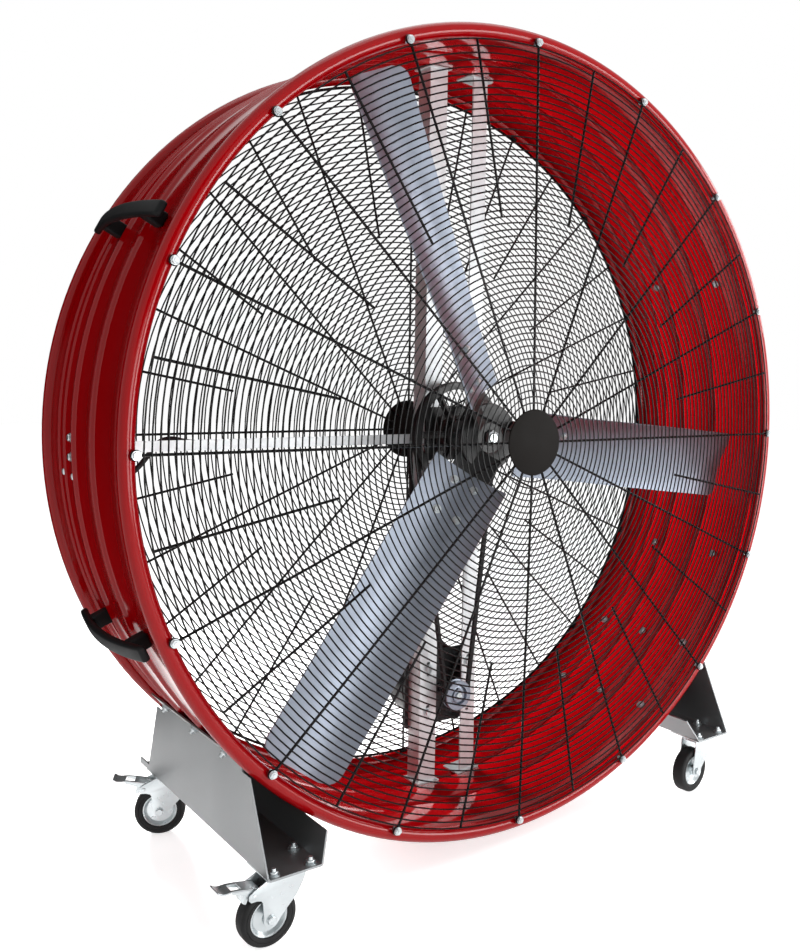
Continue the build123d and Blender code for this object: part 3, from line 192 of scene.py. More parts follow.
def surface(name, colour, shade, grain, roughness, bump, bump_grain, stretch=(1, 1, 1), crystal=0.0, **fixed):
    """A finish that drifts between a colour and its shade, and between two roughnesses.

    grain, bump_grain and crystal are in millimetres, and bump is the height of the relief in millimetres.
    """
    material = bpy.data.materials.new(name)
    material.use_nodes = True
    tree = material.node_tree
    shader = tree.nodes["Principled BSDF"]
    for key, value in fixed.items():
        shader.inputs[key.replace("_", " ")].default_value = value
    spot = add(tree, "ShaderNodeTexCoord").outputs["Object"]
    drift = noise(tree, spot, grain, stretch, 4.0)
    base = blend(tree, drift, darker(colour, shade), tuple(colour))
    if crystal:
        crystals = add(tree, "ShaderNodeTexVoronoi", {"Vector": spot, "Scale": 1 / (crystal * MM)})
        base = blend(tree, crystals.outputs["Color"], base, darker(colour, CRYSTAL_SHADE))
    tree.links.new(base, shader.inputs["Base Color"])
    low, high = roughness
    spread = {"Value": drift, "From Min": DRIFT_LOW, "From Max": DRIFT_HIGH, "To Min": low, "To Max": high}
    tree.links.new(add(tree, "ShaderNodeMapRange", spread).outputs[0], shader.inputs["Roughness"])
    if bump:
        relief = noise(tree, spot, bump_grain, stretch, 2.0)
        bumped = add(tree, "ShaderNodeBump", {"Height": relief, "Distance": bump * MM, "Strength": 1.0})
        tree.links.new(bumped.outputs[0], shader.inputs["Normal"])


DRIFT_LOW, DRIFT_HIGH = 0.3, 0.7        # between which the noise mostly stays
CRYSTAL_SHADE = 0.8
# Each finish: the setting with its colour and how much of that it takes, its shade, the grain of the drift,
# both roughnesses, the height and the grain of the relief, and what else the surface has
FINISHES = {
    # Stoved enamel on steel: deep gloss under a clear film, with a faint orange peel
    "Red enamel": ("enamel", 1, 0.86, 160, (0.08, 0.13), 0.02, 9, dict(IOR=1.5, Specular_IOR_Level=0.22)),
    # Thin black powder coating on drawn wire: half gloss, so that wires catch the lamps
    "Black powder coat": ("guard", 1, 0.7, 30, (0.22, 0.32), 0.03, 2, dict(IOR=1.5, Specular_IOR_Level=0.12)),
    # Hot-dip galvanised sheet: dull silver with crystals about 14 mm across
    "Galvanised steel": ("steel", 1, 0.86, 90, (0.42, 0.5), 0.02, 3, dict(crystal=14, Metallic=0.6)),
    # Cold-rolled sheet, zinc washed: smooth grey with soft clouds and fine rolling lines
    "Satin steel": (
        "steel", 0.33, 0.8, 120, (0.36, 0.46), 0.015, 2, dict(stretch=(1, 1, 0.15), Metallic=0.8)
    ),
    # Bright passivated zinc on pressed steel: almost white, with a cool tint and small ripples
    "Zinc plate": ("zinc", 1, 0.92, 12, (0.26, 0.34), 0.01, 5, dict(Metallic=0.9)),
    # Mill-finish aluminium sheet: soft sheen with faint cloudy spots from rolling
    "Mill aluminium": ("aluminium", 1, 0.9, 60, (0.34, 0.42), 0.02, 2.5, dict(Metallic=0.9)),
    # Die-cast aluminium: bright, slightly grainy skin
    "Cast aluminium": ("aluminium", 1, 0.8, 6, (0.3, 0.45), 0.06, 1.5, dict(Metallic=0.95)),
    # Black paint on cast iron: low gloss over a sandy casting skin
    "Casting paint": ("castings", 1, 0.6, 20, (0.34, 0.48), 0.12, 2, dict(IOR=1.5)),
    # Ground shaft: nearly a mirror under a film of oil
    "Machined steel": ("zinc", 1, 0.7, 4, (0.18, 0.3), 0, 1, dict(Metallic=1.0)),
    # Glass-filled nylon, moulded: dark grey with a fine matt grain
    "Moulded nylon": (
        "moulded", 1, 0.8, 40, (0.46, 0.56), 0.06, 1.2, dict(IOR=1.53, Specular_IOR_Level=0.12)
    ),
    # Vulcanised rubber: dull black with dusty patches
    "Vulcanised rubber": (
        "rubber", 1, 0.65, 25, (0.62, 0.78), 0.06, 1.5, dict(IOR=1.52, Specular_IOR_Level=0.3)
    ),
    # Injection-moulded dust seal: bright red-orange polymer
    "Seal polymer": ("seal", 1, 0.85, 20, (0.35, 0.45), 0, 1, dict(IOR=1.49)),
    # Printed steel disc, left bare: flat black under a clear varnish
    "Badge enamel": ("badge", 1, 0.8, 30, (0.42, 0.5), 0, 1, dict(IOR=1.5, Specular_IOR_Level=0.05)),
}


def finish(name):
    """The material of this name, made the first time that it is asked for."""
    if name not in bpy.data.materials:
        setting, share, *values, extras = FINISHES[name]
        colour = getattr(bpy.context.scene.drumfan_finishes, setting)
        surface(name, darker(colour, share), *values, **extras)
    return bpy.data.materials[name]


# ======================= shapes =======================


def frame_at(origin, x_axis, z_axis):
    """The matrix of a frame at this origin with these x and z directions."""
    z = Vector(z_axis).normalized()
    y = z.cross(Vector(x_axis)).normalized()
    turned = Matrix((y.cross(z), y, z)).transposed().to_4x4()
    turned.translation = Vector(origin)
    return turned


def moved(matrix, x=0.0, y=0.0, z=0.0):
    """The same frame, shifted along its own axes."""
    return matrix @ Matrix.Translation((x, y, z))


def outward(angle, radius, forward):
    """On the drum at this angle, with z pointing outwards and y forward."""
    turned = FAN @ Matrix.Rotation(radians(angle), 4, "Z")
    return moved(turned, radius, 0, forward) @ Matrix.Rotation(pi / 2, 4, "Y")


def merge(bm, part, matrix):
    """Moves a finished part into its place in a piece."""
    part.transform(matrix)
    shape = bpy.data.meshes.new("part")
    part.to_mesh(shape)
    part.free()
    bm.from_mesh(shape)
    bpy.data.meshes.remove(shape)


def stamp(bm, build, places, *sizes):
    """Puts a copy of one small part at each place."""
    for place in places:
        part = bmesh.new()
        build(part, *sizes)
        merge(bm, part, place)


def round_edges(part, size, segments=2, sharper_than=30.0):
    """Rounds the edges between faces that meet at more than this angle."""
    if not size:
        return
    part.normal_update()
    sharp = [e for e in part.edges if e.is_manifold and e.calc_face_angle() > radians(sharper_than)]
    bmesh.ops.bevel(
        part, geom=sharp, offset=size, offset_type="OFFSET", segments=segments, profile=0.5, affect="EDGES",
        clamp_overlap=True, material=-1,
    )


def add_spun(bm, matrix, profile, steps=STEPS, closed=False):
    """Turns a profile of (radius, height) points round the frame's z axis."""
    part = bmesh.new()
    verts = [part.verts.new((radius, 0, height)) for radius, height in profile]
    followers = verts[1:] + verts[:1] if closed else verts[1:]
    edges = [part.edges.new(pair) for pair in zip(verts, followers)]
    bmesh.ops.spin(
        part, geom=verts + edges, cent=(0, 0, 0), axis=(0, 0, 1), dvec=(0, 0, 0), angle=2 * pi, steps=steps,
        use_merge=True, use_duplicate=False,
    )
    bmesh.ops.remove_doubles(part, verts=part.verts, dist=0.001)
    bmesh.ops.recalc_face_normals(part, faces=part.faces)
    merge(bm, part, matrix)


def add_wire_ring(bm, matrix, radius, wire, steps):
    """A ring of round wire about the frame's z axis."""
    turns = [2 * pi * side / WIRE_SIDES for side in range(WIRE_SIDES)]
    section = [(radius + wire / 2 * cos(t), wire / 2 * sin(t)) for t in turns]
    add_spun(bm, matrix, section, steps, closed=True)


def add_prism(bm, matrix, outline, depth, edge=0.0, segments=2):
    """An outline in the frame's xy plane, pushed out along z, with rounded edges."""
    part = bmesh.new()
    face = part.faces.new([part.verts.new((x, y, 0)) for x, y in outline])
    pushed = bmesh.ops.extrude_face_region(part, geom=[face])["geom"]
    ends = [item for item in pushed if isinstance(item, bmesh.types.BMVert)]
    bmesh.ops.translate(part, vec=(0, 0, depth), verts=ends)
    bmesh.ops.recalc_face_normals(part, faces=part.faces)
    round_edges(part, edge, segments)
    merge(bm, part, matrix)


def add_block(bm, matrix, width, height, depth, edge=0.0, segments=2):
    """A block centred on the frame's xy plane and standing on it."""
    half_w, half_h = width / 2, height / 2
    corners = [(-half_w, -half_h), (half_w, -half_h), (half_w, half_h), (-half_w, half_h)]
    add_prism(bm, matrix, corners, depth, edge, segments)


def add_cone(bm, place, lower, upper, height, sides):
    """A many-sided cone or cylinder that stands on the frame's xy plane."""
    bmesh.ops.create_cone(
        bm, cap_ends=True, cap_tris=False, segments=sides, radius1=lower, radius2=upper, depth=height,
        matrix=moved(place, z=height / 2),
    )


def add_rod(bm, place, start, end, radius, sides=8):
    """A straight round rod between two points of the frame."""
    start, run = place @ Vector(start), place.to_3x3() @ (Vector(end) - Vector(start))
    turned = Matrix.Translation(start) @ run.to_track_quat("Z", "Y").to_matrix().to_4x4()
    add_cone(bm, turned, radius, radius, run.length, sides)


# Heads and nuts: radius over the corners, height with the washer, the washer's radius, and the stud's end
HEADS = {
    "guard": (6.8, 5.5, 7.6, 1.5),
    "bearing": (5.0, 5.0, 6.5),
    "shaft": (17.0, 9.0),
    "blade": (7.0, 5.2, 9.0),
    "tension": (8.5, 6.0, 11.0),
    "gland": (13.0, 8.0),
    "grip": (7.0, 5.2, 9.0),
    "frame": (6.4, 5.0, 8.0),
    "foot_nut": (7.5, 6.0, 9.5, 6.0),
    "foot_head": (7.5, 5.2, 9.5),
    "caster": (8.5, 6.8, 10.5, 5.0),
    "axle": (8.0, 5.0, 8.8),
}
WASHER_THICKNESS = 1.6
HEAD_EDGE = 0.8
# Domed heads: radius and height
RIVETS = {"seam": (6.0, 3.0), "clip": (2.6, 1.6), "pin": (4.5, 1.5)}


def hexagon_head(part, radius, height, washer=0.0, stud=0.0):
    """A hexagon head or nut on its washer, with the stud's end standing out of it."""
    base = WASHER_THICKNESS if washer else 0.0
    if washer:
        add_cone(part, HERE, washer, washer, base, 20)
    head = bmesh.new()
    add_cone(head, moved(HERE, z=base), radius, radius, height - base, 6)
    round_edges(head, HEAD_EDGE, 1)
    merge(part, head, HERE)
    if stud:
        add_cone(part, moved(HERE, z=height), radius * 0.55, radius * 0.45, stud, 12)


def add_heads(bm, kind, places):
    """Hexagon heads or nuts of one kind."""
    stamp(bm, hexagon_head, places, *HEADS[kind])


def rivet_head(part, radius, height):
    """A domed head standing on z = 0."""
    profile = [(radius * cos(t), height * sin(t)) for t in (0.0, 0.5, 1.0, pi / 2)]
    add_spun(part, HERE, [(0, 0), *profile[:-1], (0, height)], 16)


def arc(centre, radius, start, end, points):
    """Points along an arc, with its angles in degrees."""
    turns = [radians(start + (end - start) * step / (points - 1)) for step in range(points)]
    return [(centre[0] + radius * cos(t), centre[1] + radius * sin(t)) for t in turns]


def bow(start, crown, end, points):
    """Points along a shallow bow through three evenly spaced points, as a parabola."""
    shares = [step / (points - 1) for step in range(points)]
    rise = crown - (start[0] + end[0]) / 2
    return [
        (start[0] + (end[0] - start[0]) * s + 4 * rise * s * (1 - s), start[1] + (end[1] - start[1]) * s)
        for s in shares
    ]


def put(name, data):
    """A new object of the scene."""
    made = bpy.data.objects.new(name, data)
    bpy.context.scene.collection.objects.link(made)
    return made


def settle(made, material, body, nodes):
    """Says what a piece is made of, what it rides on, and which nodes of the frame it replaces."""
    made.data.materials.append(finish(material))
    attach(made, body)
    if nodes:
        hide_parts(*nodes)


@contextmanager
def piece(name, material, slot, *nodes, body="frame", smooth=35.0):
    """Opens an empty mesh in millimetres, and closes it as a piece in metres that rides on a body."""
    bm = bmesh.new()
    yield bm
    bm.transform(Matrix.Scale(MM, 4))
    mesh = bpy.data.meshes.new(name)
    bm.to_mesh(mesh)
    bm.free()
    mesh.shade_smooth()
    mesh.set_sharp_from_angle(angle=radians(smooth))
    settle(put(name, mesh), material, body, nodes)


def bolt_piece(name, kind, places, node, body="frame"):
    """A piece that is plated bolt heads alone."""
    with piece(name, "Zinc plate", "zinc", node, body=body) as bm:
        add_heads(bm, kind, places)


# ======================= frame nodes that stay =======================

NODE_FINISHES = {
    "Galvanised steel": ("main_post", "angle_upright", "side_bar", "frame_pads"),
    "Satin steel": ("foot_left", "foot_right"),
    "Casting paint": ("bearing_plates", "motor_plate"),
}


class DRUMFAN_OT_frame(bpy.types.Operator):
    """Gives the uprights, the feet and the plates their finishes"""

    bl_idname = "drumfan.frame"
    bl_label = "Frame finishes"

    def execute(self, context):
        for material, nodes in NODE_FINISHES.items():
            for node in nodes:
                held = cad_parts[node].data.materials
                held.clear()
                held.append(finish(material))
        return {"FINISHED"}


# ======================= drum =======================

# Swages pressed into the sheet: forward of the middle, width, and share of the swage height
SWAGES = ((-146, 9, 0.5), (-114, 9, 0.5), (-54, 20, 1), (50, 20, 1), (186, 10, 0.6))
SWAGE_POINTS = 9
SEAM_RIVETS = ((184.2, -130.0), (184.5, -78.0))


def drum_profile(swage_height):
    """The sheet's outside from rear to front and its inside back again, as (radius, forward)."""
    outside = [(BODY_RADIUS, -RIM_FORWARD)]
    for forward, width, share in SWAGES:
        for step in range(SWAGE_POINTS):
            across = 2 * step / (SWAGE_POINTS - 1) - 1
            lift = swage_height * share * cos(pi / 2 * across) ** 2
            outside.append((BODY_RADIUS + lift, forward + across * width / 2))
    outside.append((BODY_RADIUS, RIM_FORWARD))
    return outside + [(radius - SHEET, forward) for radius, forward in reversed(outside)]


class DRUMFAN_OT_drum(bpy.types.Operator):
    """Spins the swaged drum with its rolled rims, and sets the seam's rivets"""

    bl_idname = "drumfan.drum"
    bl_label = "Drum"

    def execute(self, context):
        sizes = context.scene.drumfan_sizes
        with piece("drum_skin", "Red enamel", "drum_red", "drum_shell") as bm:
            add_spun(bm, FAN, drum_profile(sizes.swage_height / MM), sizes.drum_steps, closed=True)
            for side in (-1, 1):
                curl = arc((BODY_RADIUS, side * RIM_FORWARD), RIM_CURL, 0, 345, 24)
                add_spun(bm, FAN, curl, sizes.drum_steps, closed=True)

        with piece("seam_rivets", "Zinc plate", "zinc") as bm:
            places = [outward(angle, BODY_RADIUS, forward) for angle, forward in SEAM_RIVETS]
            stamp(bm, rivet_head, places, *RIVETS["seam"])
        return {"FINISHED"}


# ======================= guards =======================

OUTER_RING_RADIUS = 766.0
INNER_RING_RADIUS = 76.0
SPOKE_START = 42.0
SHORT_SPOKE_START = 440.0
RING_STEPS = 120
DISC_RADIUS = 66.0
EYE_RADIUS = 6.6
DISC_THICKNESS = 3.0
CLIP_RADIUS = 768.9
CLIP_SIZE = (6.0, 16.0, 12.0)
CLIP_SETBACK = 3.0
# Of a guard bolt: its two ends, radius and sides
GUARD_SHANK = ((0, 0, -12), (0, 0, 2), 3.8, 12)


def guard_rise(radius, dome):
    """How far forward a domed guard stands at this radius."""
    return dome * (BOLT_CIRCLE - radius) / (BOLT_CIRCLE - SPOKE_START)


def add_guard(bm, sizes, forward, side, dome):
    """Long and short spokes, and rings that lie on their front on side 1 and their rear on side -1."""
    spoke, ring = sizes.spoke_wire / MM, sizes.ring_wire / MM
    middle = forward + spoke / 2
    for number in range(2 * SPOKES):
        turned = FAN @ Matrix.Rotation(pi * number / SPOKES, 4, "Z")
        start = SHORT_SPOKE_START if number % 2 else SPOKE_START
        end = BOLT_CIRCLE - EYE_RADIUS if dome and not number % 2 else OUTER_RING_RADIUS
        rod = [(radius, 0, middle + guard_rise(radius, dome)) for radius in (start, end)]
        add_rod(bm, turned, *rod, spoke / 2)
    count = ceil((OUTER_RING_RADIUS - INNER_RING_RADIUS) / (sizes.ring_pitch / MM))
    for number in range(count):
        radius = OUTER_RING_RADIUS - number * sizes.ring_pitch / MM
        lift = middle + guard_rise(radius, dome) + side * (spoke + ring) / 2
        add_wire_ring(bm, moved(FAN, z=lift), radius, ring, RING_STEPS)


def add_disc(name, forward, node):
    """A guard's flat middle disc with a turned-down edge."""
    with piece(name, "Badge enamel", "badge_black", node) as bm:
        top, edge = DISC_THICKNESS, DISC_RADIUS
        profile = [(0, top), (edge - 3, top), (edge - 0.8, top - 0.5), (edge, 1.0), (edge - 0.6, 0), (0, 0)]
        add_spun(bm, moved(FAN, z=forward), profile, 96)


def guard_places(radius, forward):
    """Frames round a guard, one on each of its long spokes."""
    turns = [Matrix.Rotation(2 * pi * number / SPOKES, 4, "Z") for number in range(SPOKES)]
    return [moved(FAN @ turn, radius, 0, forward) for turn in turns]


def guard_clip(part):
    """A saddle clip with its screw, which holds the rear guard's thick ring."""
    width, length, depth = CLIP_SIZE
    add_block(part, HERE, width, length, depth, 1.6)
    stamp(part, rivet_head, [moved(HERE, z=depth)], *RIVETS["clip"])


class DRUMFAN_OT_guards(bpy.types.Operator):
    """Winds both wire guards, with their discs, clips and bolts"""

    bl_idname = "drumfan.guards"
    bl_label = "Wire guards"

    def execute(self, context):
        sizes = context.scene.drumfan_sizes
        spoke = sizes.spoke_wire / MM
        with piece("front_guard_wires", "Black powder coat", "guard_black", "front_guard") as bm:
            add_guard(bm, sizes, FRONT_GUARD, 1, GUARD_DOME)
            eyes = guard_places(BOLT_CIRCLE, FRONT_GUARD + spoke / 2)
            for eye in eyes:
                add_wire_ring(bm, eye, EYE_RADIUS, spoke, 20)

        with piece("rear_guard_wires", "Black powder coat", "guard_black", "rear_guard") as bm:
            add_guard(bm, sizes, REAR_GUARD, -1, 0.0)
            thick = moved(FAN, z=REAR_GUARD + spoke / 2)
            add_wire_ring(bm, thick, OUTER_RING_RADIUS, 2 * sizes.ring_wire / MM, 160)

        add_disc("front_badge_disc", FRONT_GUARD + GUARD_DOME + spoke, "front_guard_disc")
        add_disc("rear_disc", REAR_GUARD - DISC_THICKNESS, "rear_guard_disc")

        with piece("guard_clips", "Moulded nylon", "guard_black", "rear_guard_clips") as bm:
            stamp(bm, guard_clip, guard_places(CLIP_RADIUS, REAR_GUARD - CLIP_SETBACK))

        with piece("guard_bolts", "Zinc plate", "zinc", "front_guard_bolts") as bm:
            add_heads(bm, "guard", [moved(eye, z=spoke / 2) for eye in eyes])
            for eye in eyes:
                add_rod(bm, eye, *GUARD_SHANK)
        return {"FINISHED"}


# ======================= bearings and shaft =======================

BEARING_REARS = (-40.0, -108.0)
BEARING_FLANGE = (76.0, 76.0, 5.0)
BEARING_CORNERS = [(x, y, BEARING_FLANGE[2]) for x in (-29, 29) for y in (-29, 29)]
SHAFT_BORE = 15.1
# The housing and the inner ring, as (radius, forward)
BEARING_PROFILE = (
    (36, 5), (33, 9), (30, 13.5), (25, 14), (24, 11), (19, 11), (19, 14), (SHAFT_BORE, 14), (SHAFT_BORE, 0),
    (36, 0),
)


def add_bearing(bm, rear):
    """A flanged bearing: a square flange with round corners, a housing and an inner ring."""
    place = moved(FAN, z=rear)
    add_block(bm, place, *BEARING_FLANGE, 9.0, 4)
    add_spun(bm, place, BEARING_PROFILE, closed=True)
    add_rod(bm, place, (22, 22, 9), (29, 29, 12), 2.4)
    add_heads(bm, "bearing", [moved(place, *corner) for corner in BEARING_CORNERS])


class DRUMFAN_OT_bearings(bpy.types.Operator):
    """Fits the two flanged bearings"""

    bl_idname = "drumfan.bearings"
    bl_label = "Bearings"

    def execute(self, context):
        with piece("flanged_bearings", "Casting paint", "hub_black", "bearings") as bm:
            for rear in BEARING_REARS:
                add_bearing(bm, rear)
        return {"FINISHED"}


# ======================= rotor =======================

HUB_REAR = 60.0
HUB_FACE = 102.0
SHAFT_FRONT = 106.0
PULLEY_SPOKES = 6
PULLEY_INSIDE = 98.0
SPOKE_MIDDLE = 64.0
SPOKE_LENGTH = 74.0
SPOKE_PARTS = ((15, 6, 1.5), (5, 14, 1.2))      # web and rib: width, depth and rounding
# The shaft's outside and the hub's section, as (radius, forward)
SHAFT_PROFILE = (
    (0, -122), (14, -122), (15, -121), (15, SHAFT_FRONT), (10, SHAFT_FRONT), (10, 117), (9, 118), (0, 118),
)
HUB_PROFILE = (
    (SHAFT_BORE, HUB_REAR), (34, HUB_REAR), (36, HUB_REAR + 2), (36, 88), (40, 92), (70, 92), (72, 94),
    (72, 100), (70, HUB_FACE), (40, HUB_FACE), (34, SHAFT_FRONT - 2), (32, SHAFT_FRONT),
    (SHAFT_BORE, SHAFT_FRONT),
)
BLADE_ANGLES = [BLADE_ANGLE + 360 / BLADES * number for number in range(BLADES)]
BLADE_SPAN = (92.0, 752.0)
BLADE_CHORD = 165.0
BLADE_ROOT_PITCH = 32.0
BLADE_TIP_PITCH = 14.0
TWIST_START_RADIUS = 220.0
BLADE_CAMBER = 18.0
BLADE_FORWARD = 124.0
BLADE_SWEEP = -9.0
BLADE_CORNER = 30.0
CAMBER_RADIUS = (BLADE_CHORD**2 / 4 + BLADE_CAMBER**2) / (2 * BLADE_CAMBER)
ARM_SPAN = (34.0, 215.0)
ARM_CHORD = 84.0
ARM_THICKNESS = 6.0
ARM_CORNER = 18.0
ARM_DEPTH = 3.05           # behind the blade's face, just clear of its sheet
BLADE_BOLT_RADII = (118.0, 190.0)
BLADE_BOLT_SPREAD = 0.28
BLADE_BOLT_LIFT = 0.2


def blade_point(angle, radius, share, depth=0.0):
    """A point on a blade: from the back edge at share -1 to the front edge at 1, depth behind its face."""
    a = radians(angle)
    tangent, out = Vector((-sin(a), 0, cos(a))), Vector((cos(a), 0, sin(a)))
    washed = min(max((radius - TWIST_START_RADIUS) / (BLADE_SPAN[1] - TWIST_START_RADIUS), 0.0), 1.0)
    pitch = radians(BLADE_ROOT_PITCH + (BLADE_TIP_PITCH - BLADE_ROOT_PITCH) * washed)
    along = tangent * cos(pitch) + Vector((0, -1, 0)) * sin(pitch)
    face = out.cross(along)
    lean = asin(share * BLADE_CHORD / 2 / CAMBER_RADIUS)
    bent = CAMBER_RADIUS + depth
    middle = out * radius + tangent * BLADE_SWEEP + Vector((0, -BLADE_FORWARD, AXIS_HEIGHT))
    return middle + along * (bent * sin(lean)) + face * (CAMBER_RADIUS - BLADE_CAMBER - bent * cos(lean))


def blade_frame(angle, radius, share):
    """On a blade's face, with z pointing off it and x along its length."""
    here = blade_point(angle, radius, share)
    along = blade_point(angle, radius + 1, share) - here
    across = blade_point(angle, radius, share + 0.01) - here
    return frame_at(here, along, along.cross(across))


def add_bent_plate(bm, angle, near, far, chord, depth, thickness, corner, cells):
    """A plate that follows the blade's twist and camber, with rounded outer corners."""
    part = bmesh.new()
    bmesh.ops.create_grid(part, x_segments=cells[0], y_segments=cells[1], size=1.0)
    for vert in part.verts:
        radius = near + (far - near) * (vert.co.x + 1) / 2
        overlap = max(radius - (far - corner), 0.0)
        half = chord / 2 - (corner - sqrt(max(corner**2 - overlap**2, 0.0)))
        vert.co = blade_point(angle, radius, vert.co.y * half / (BLADE_CHORD / 2), depth)
    bmesh.ops.recalc_face_normals(part, faces=part.faces)
    if sum(face.normal.y * face.calc_area() for face in part.faces) > 0:
        bmesh.ops.reverse_faces(part, faces=part.faces)
    bmesh.ops.solidify(part, geom=part.faces, thickness=thickness)
    merge(bm, part, HERE)


def pulley_profile(radius, inner):
    """The section of a pulley's rim with its V groove."""
    half, floor = PULLEY_WIDTH / 2, radius - GROOVE_DEPTH
    return [
        (inner, -half), (radius - 1, -half), (radius, -half + 1), (radius, -6.0), (floor, -3.6), (floor, 3.6),
        (radius, 6.0), (radius, half - 1), (radius - 1, half), (inner, half),
    ]


def add_driven_pulley(bm):
    """A cast pulley: grooved rim, six ribbed spokes and a hub with its set screw."""
    place = moved(FAN, z=PULLEY_FORWARD)
    add_spun(bm, place, pulley_profile(PULLEY_RADIUS, PULLEY_INSIDE), 96, closed=True)
    hub = [(SHAFT_BORE, -9), (29, -9), (30, -8), (30, 8), (29, 9), (SHAFT_BORE, 9)]
    add_spun(bm, place, hub, closed=True)
    for number in range(PULLEY_SPOKES):
        turned = place @ Matrix.Rotation(2 * pi * number / PULLEY_SPOKES, 4, "Z")
        for width, depth, edge in SPOKE_PARTS:
            add_block(bm, moved(turned, SPOKE_MIDDLE, 0, -depth / 2), SPOKE_LENGTH, width, depth, edge)
    add_rod(bm, place, (0, 28, 0), (0, 33, 0), 3.5)


def add_hub(bm):
    """The turned hub with three bent arms that the blades are bolted to."""
    add_spun(bm, FAN, HUB_PROFILE, 64, closed=True)
    for angle in BLADE_ANGLES:
        add_bent_plate(bm, angle, *ARM_SPAN, ARM_CHORD, ARM_DEPTH, ARM_THICKNESS, ARM_CORNER, (24, 10))


def blade_bolt_places():
    """Frames of the bolts that hold the blades."""
    return [
        moved(blade_frame(angle, radius, share), z=BLADE_BOLT_LIFT)
        for angle in BLADE_ANGLES
        for radius in BLADE_BOLT_RADII
        for share in (-BLADE_BOLT_SPREAD, BLADE_BOLT_SPREAD)
    ]


class DRUMFAN_OT_rotor(bpy.types.Operator):
    """Makes the shaft, pulley, hub and twisted blades with their bolts"""

    bl_idname = "drumfan.rotor"
    bl_label = "Rotor"

    def execute(self, context):
        sheet = context.scene.drumfan_sizes.blade_sheet / MM
        with piece("turned_shaft", "Machined steel", "shaft_steel", "fan_shaft", body="rotor") as bm:
            add_spun(bm, FAN, SHAFT_PROFILE)

        with piece("shaft_nut", "Satin steel", "zinc", "hub_nut", body="rotor") as bm:
            add_heads(bm, "shaft", [moved(FAN, z=SHAFT_FRONT)])

        with piece("cast_pulley", "Casting paint", "hub_black", "driven_pulley", body="rotor") as bm:
            add_driven_pulley(bm)

        with piece("hub_and_arms", "Casting paint", "hub_black", "hub_spider", body="rotor") as bm:
            add_hub(bm)

        for number, angle in enumerate(BLADE_ANGLES, 1):
            with piece(
                f"blade_sheet_{number}", "Mill aluminium", "blade_aluminium", f"fan_blade_{number}",
                body="rotor", smooth=50,
            ) as bm:
                add_bent_plate(bm, angle, *BLADE_SPAN, BLADE_CHORD, 0.0, sheet, BLADE_CORNER, (96, 20))

        bolt_piece("blade_fasteners", "blade", blade_bolt_places(), "blade_bolts", "rotor")
        return {"FINISHED"}


# ======================= motor and belt =======================

MOTOR = moved(FAN, MOTOR_X, -MOTOR_DROP)
MOTOR_REAR = -192.0
MOTOR_SLOTS = 12
MOTOR_PROFILE = (
    (8.1, MOTOR_FACE), (76, MOTOR_FACE), (79, -97), (79, -110), (77.5, -111), (77.5, -112.5), (80, -113.5),
    (80, -160), (77.5, -161), (77.5, -162.5), (79, -163.5), (78, -176), (70, -185), (56, MOTOR_REAR),
    (0, MOTOR_REAR),
)
SPINDLE_PROFILE = ((0, -134.7), (8, -134.7), (8, -3), (7, -2), (0, -2))
SHEAVE_INSIDE = 22.0
SHEAVE_HUB_PROFILE = ((8.1, -9), (22.5, -9), (22.5, 3), (15, 4.5), (14.5, 9), (8.1, 9))
MOTOR_BOLT_HEIGHTS = (60.0, -38.0)
TERMINAL_OUTLINE = ((-64, 40), (-64, 132), (-6, 132), (48, 78), (48, 40))
TERMINAL_FACE = -110.0
TERMINAL_DEPTH = 62.0
TERMINAL_WALLS = 56.0
TERMINAL_LID = 5.4
TERMINAL_SCREWS = ((-56, 122), (-56, 92), (-10, 122), (38, 84))
# The belt's corners: above the clear floor of the groove, and across
BELT_SECTION = ((0.0, -3.4), (8.0, -5.0), (8.0, 5.0), (0.0, 3.4))
BELT_CLEARANCE = 0.4


def add_motor_body(bm):
    """A rolled-steel shell between two end shields, with cooling slots and ribs."""
    add_spun(bm, MOTOR, MOTOR_PROFILE, 72)
    for number in range(MOTOR_SLOTS):
        turned = MOTOR @ Matrix.Rotation(2 * pi * number / MOTOR_SLOTS, 4, "Z")
        add_block(bm, moved(turned, 52, 0, MOTOR_REAR + 0.5), 26, 5, 9, 1.2)
        add_block(bm, moved(turned, 77.5, 0, -172), 4, 16, 8, 1.0)


def cheese_head(part):
    """A small screw's round head."""
    add_spun(part, HERE, [(0, 0), (4, 0), (4, 2), (3.4, 2.8), (0, 2.8)], 16)


def add_belt(bm):
    """A V belt that runs straight between the two pulleys and round them."""
    part = bmesh.new()
    small = Vector((MOTOR_X, -MOTOR_DROP, 0))
    lean = atan2(-MOTOR_DROP, MOTOR_X)
    spread = acos((PULLEY_RADIUS - MOTOR_PULLEY_RADIUS) / small.length)
    rings = []
    for centre, pulley, start, sweep, steps in (
        (Vector((0, 0, 0)), PULLEY_RADIUS, lean + spread, 2 * (pi - spread), 64),
        (small, MOTOR_PULLEY_RADIUS, lean - spread, 2 * spread, 32),
    ):
        floor = pulley - GROOVE_DEPTH + BELT_CLEARANCE
        for step in range(steps + 1):
            turn = Matrix.Rotation(start + sweep * step / steps, 3, "Z")
            corners = [centre + turn @ Vector((floor + above, 0, across)) for above, across in BELT_SECTION]
            rings.append([part.verts.new(corner) for corner in corners])
    for near, far in zip(rings, rings[1:] + rings[:1]):
        for corner in range(len(BELT_SECTION)):
            part.faces.new((near[corner - 1], near[corner], far[corner], far[corner - 1]))
    bmesh.ops.recalc_face_normals(part, faces=part.faces)
    merge(bm, part, moved(FAN, z=PULLEY_FORWARD))


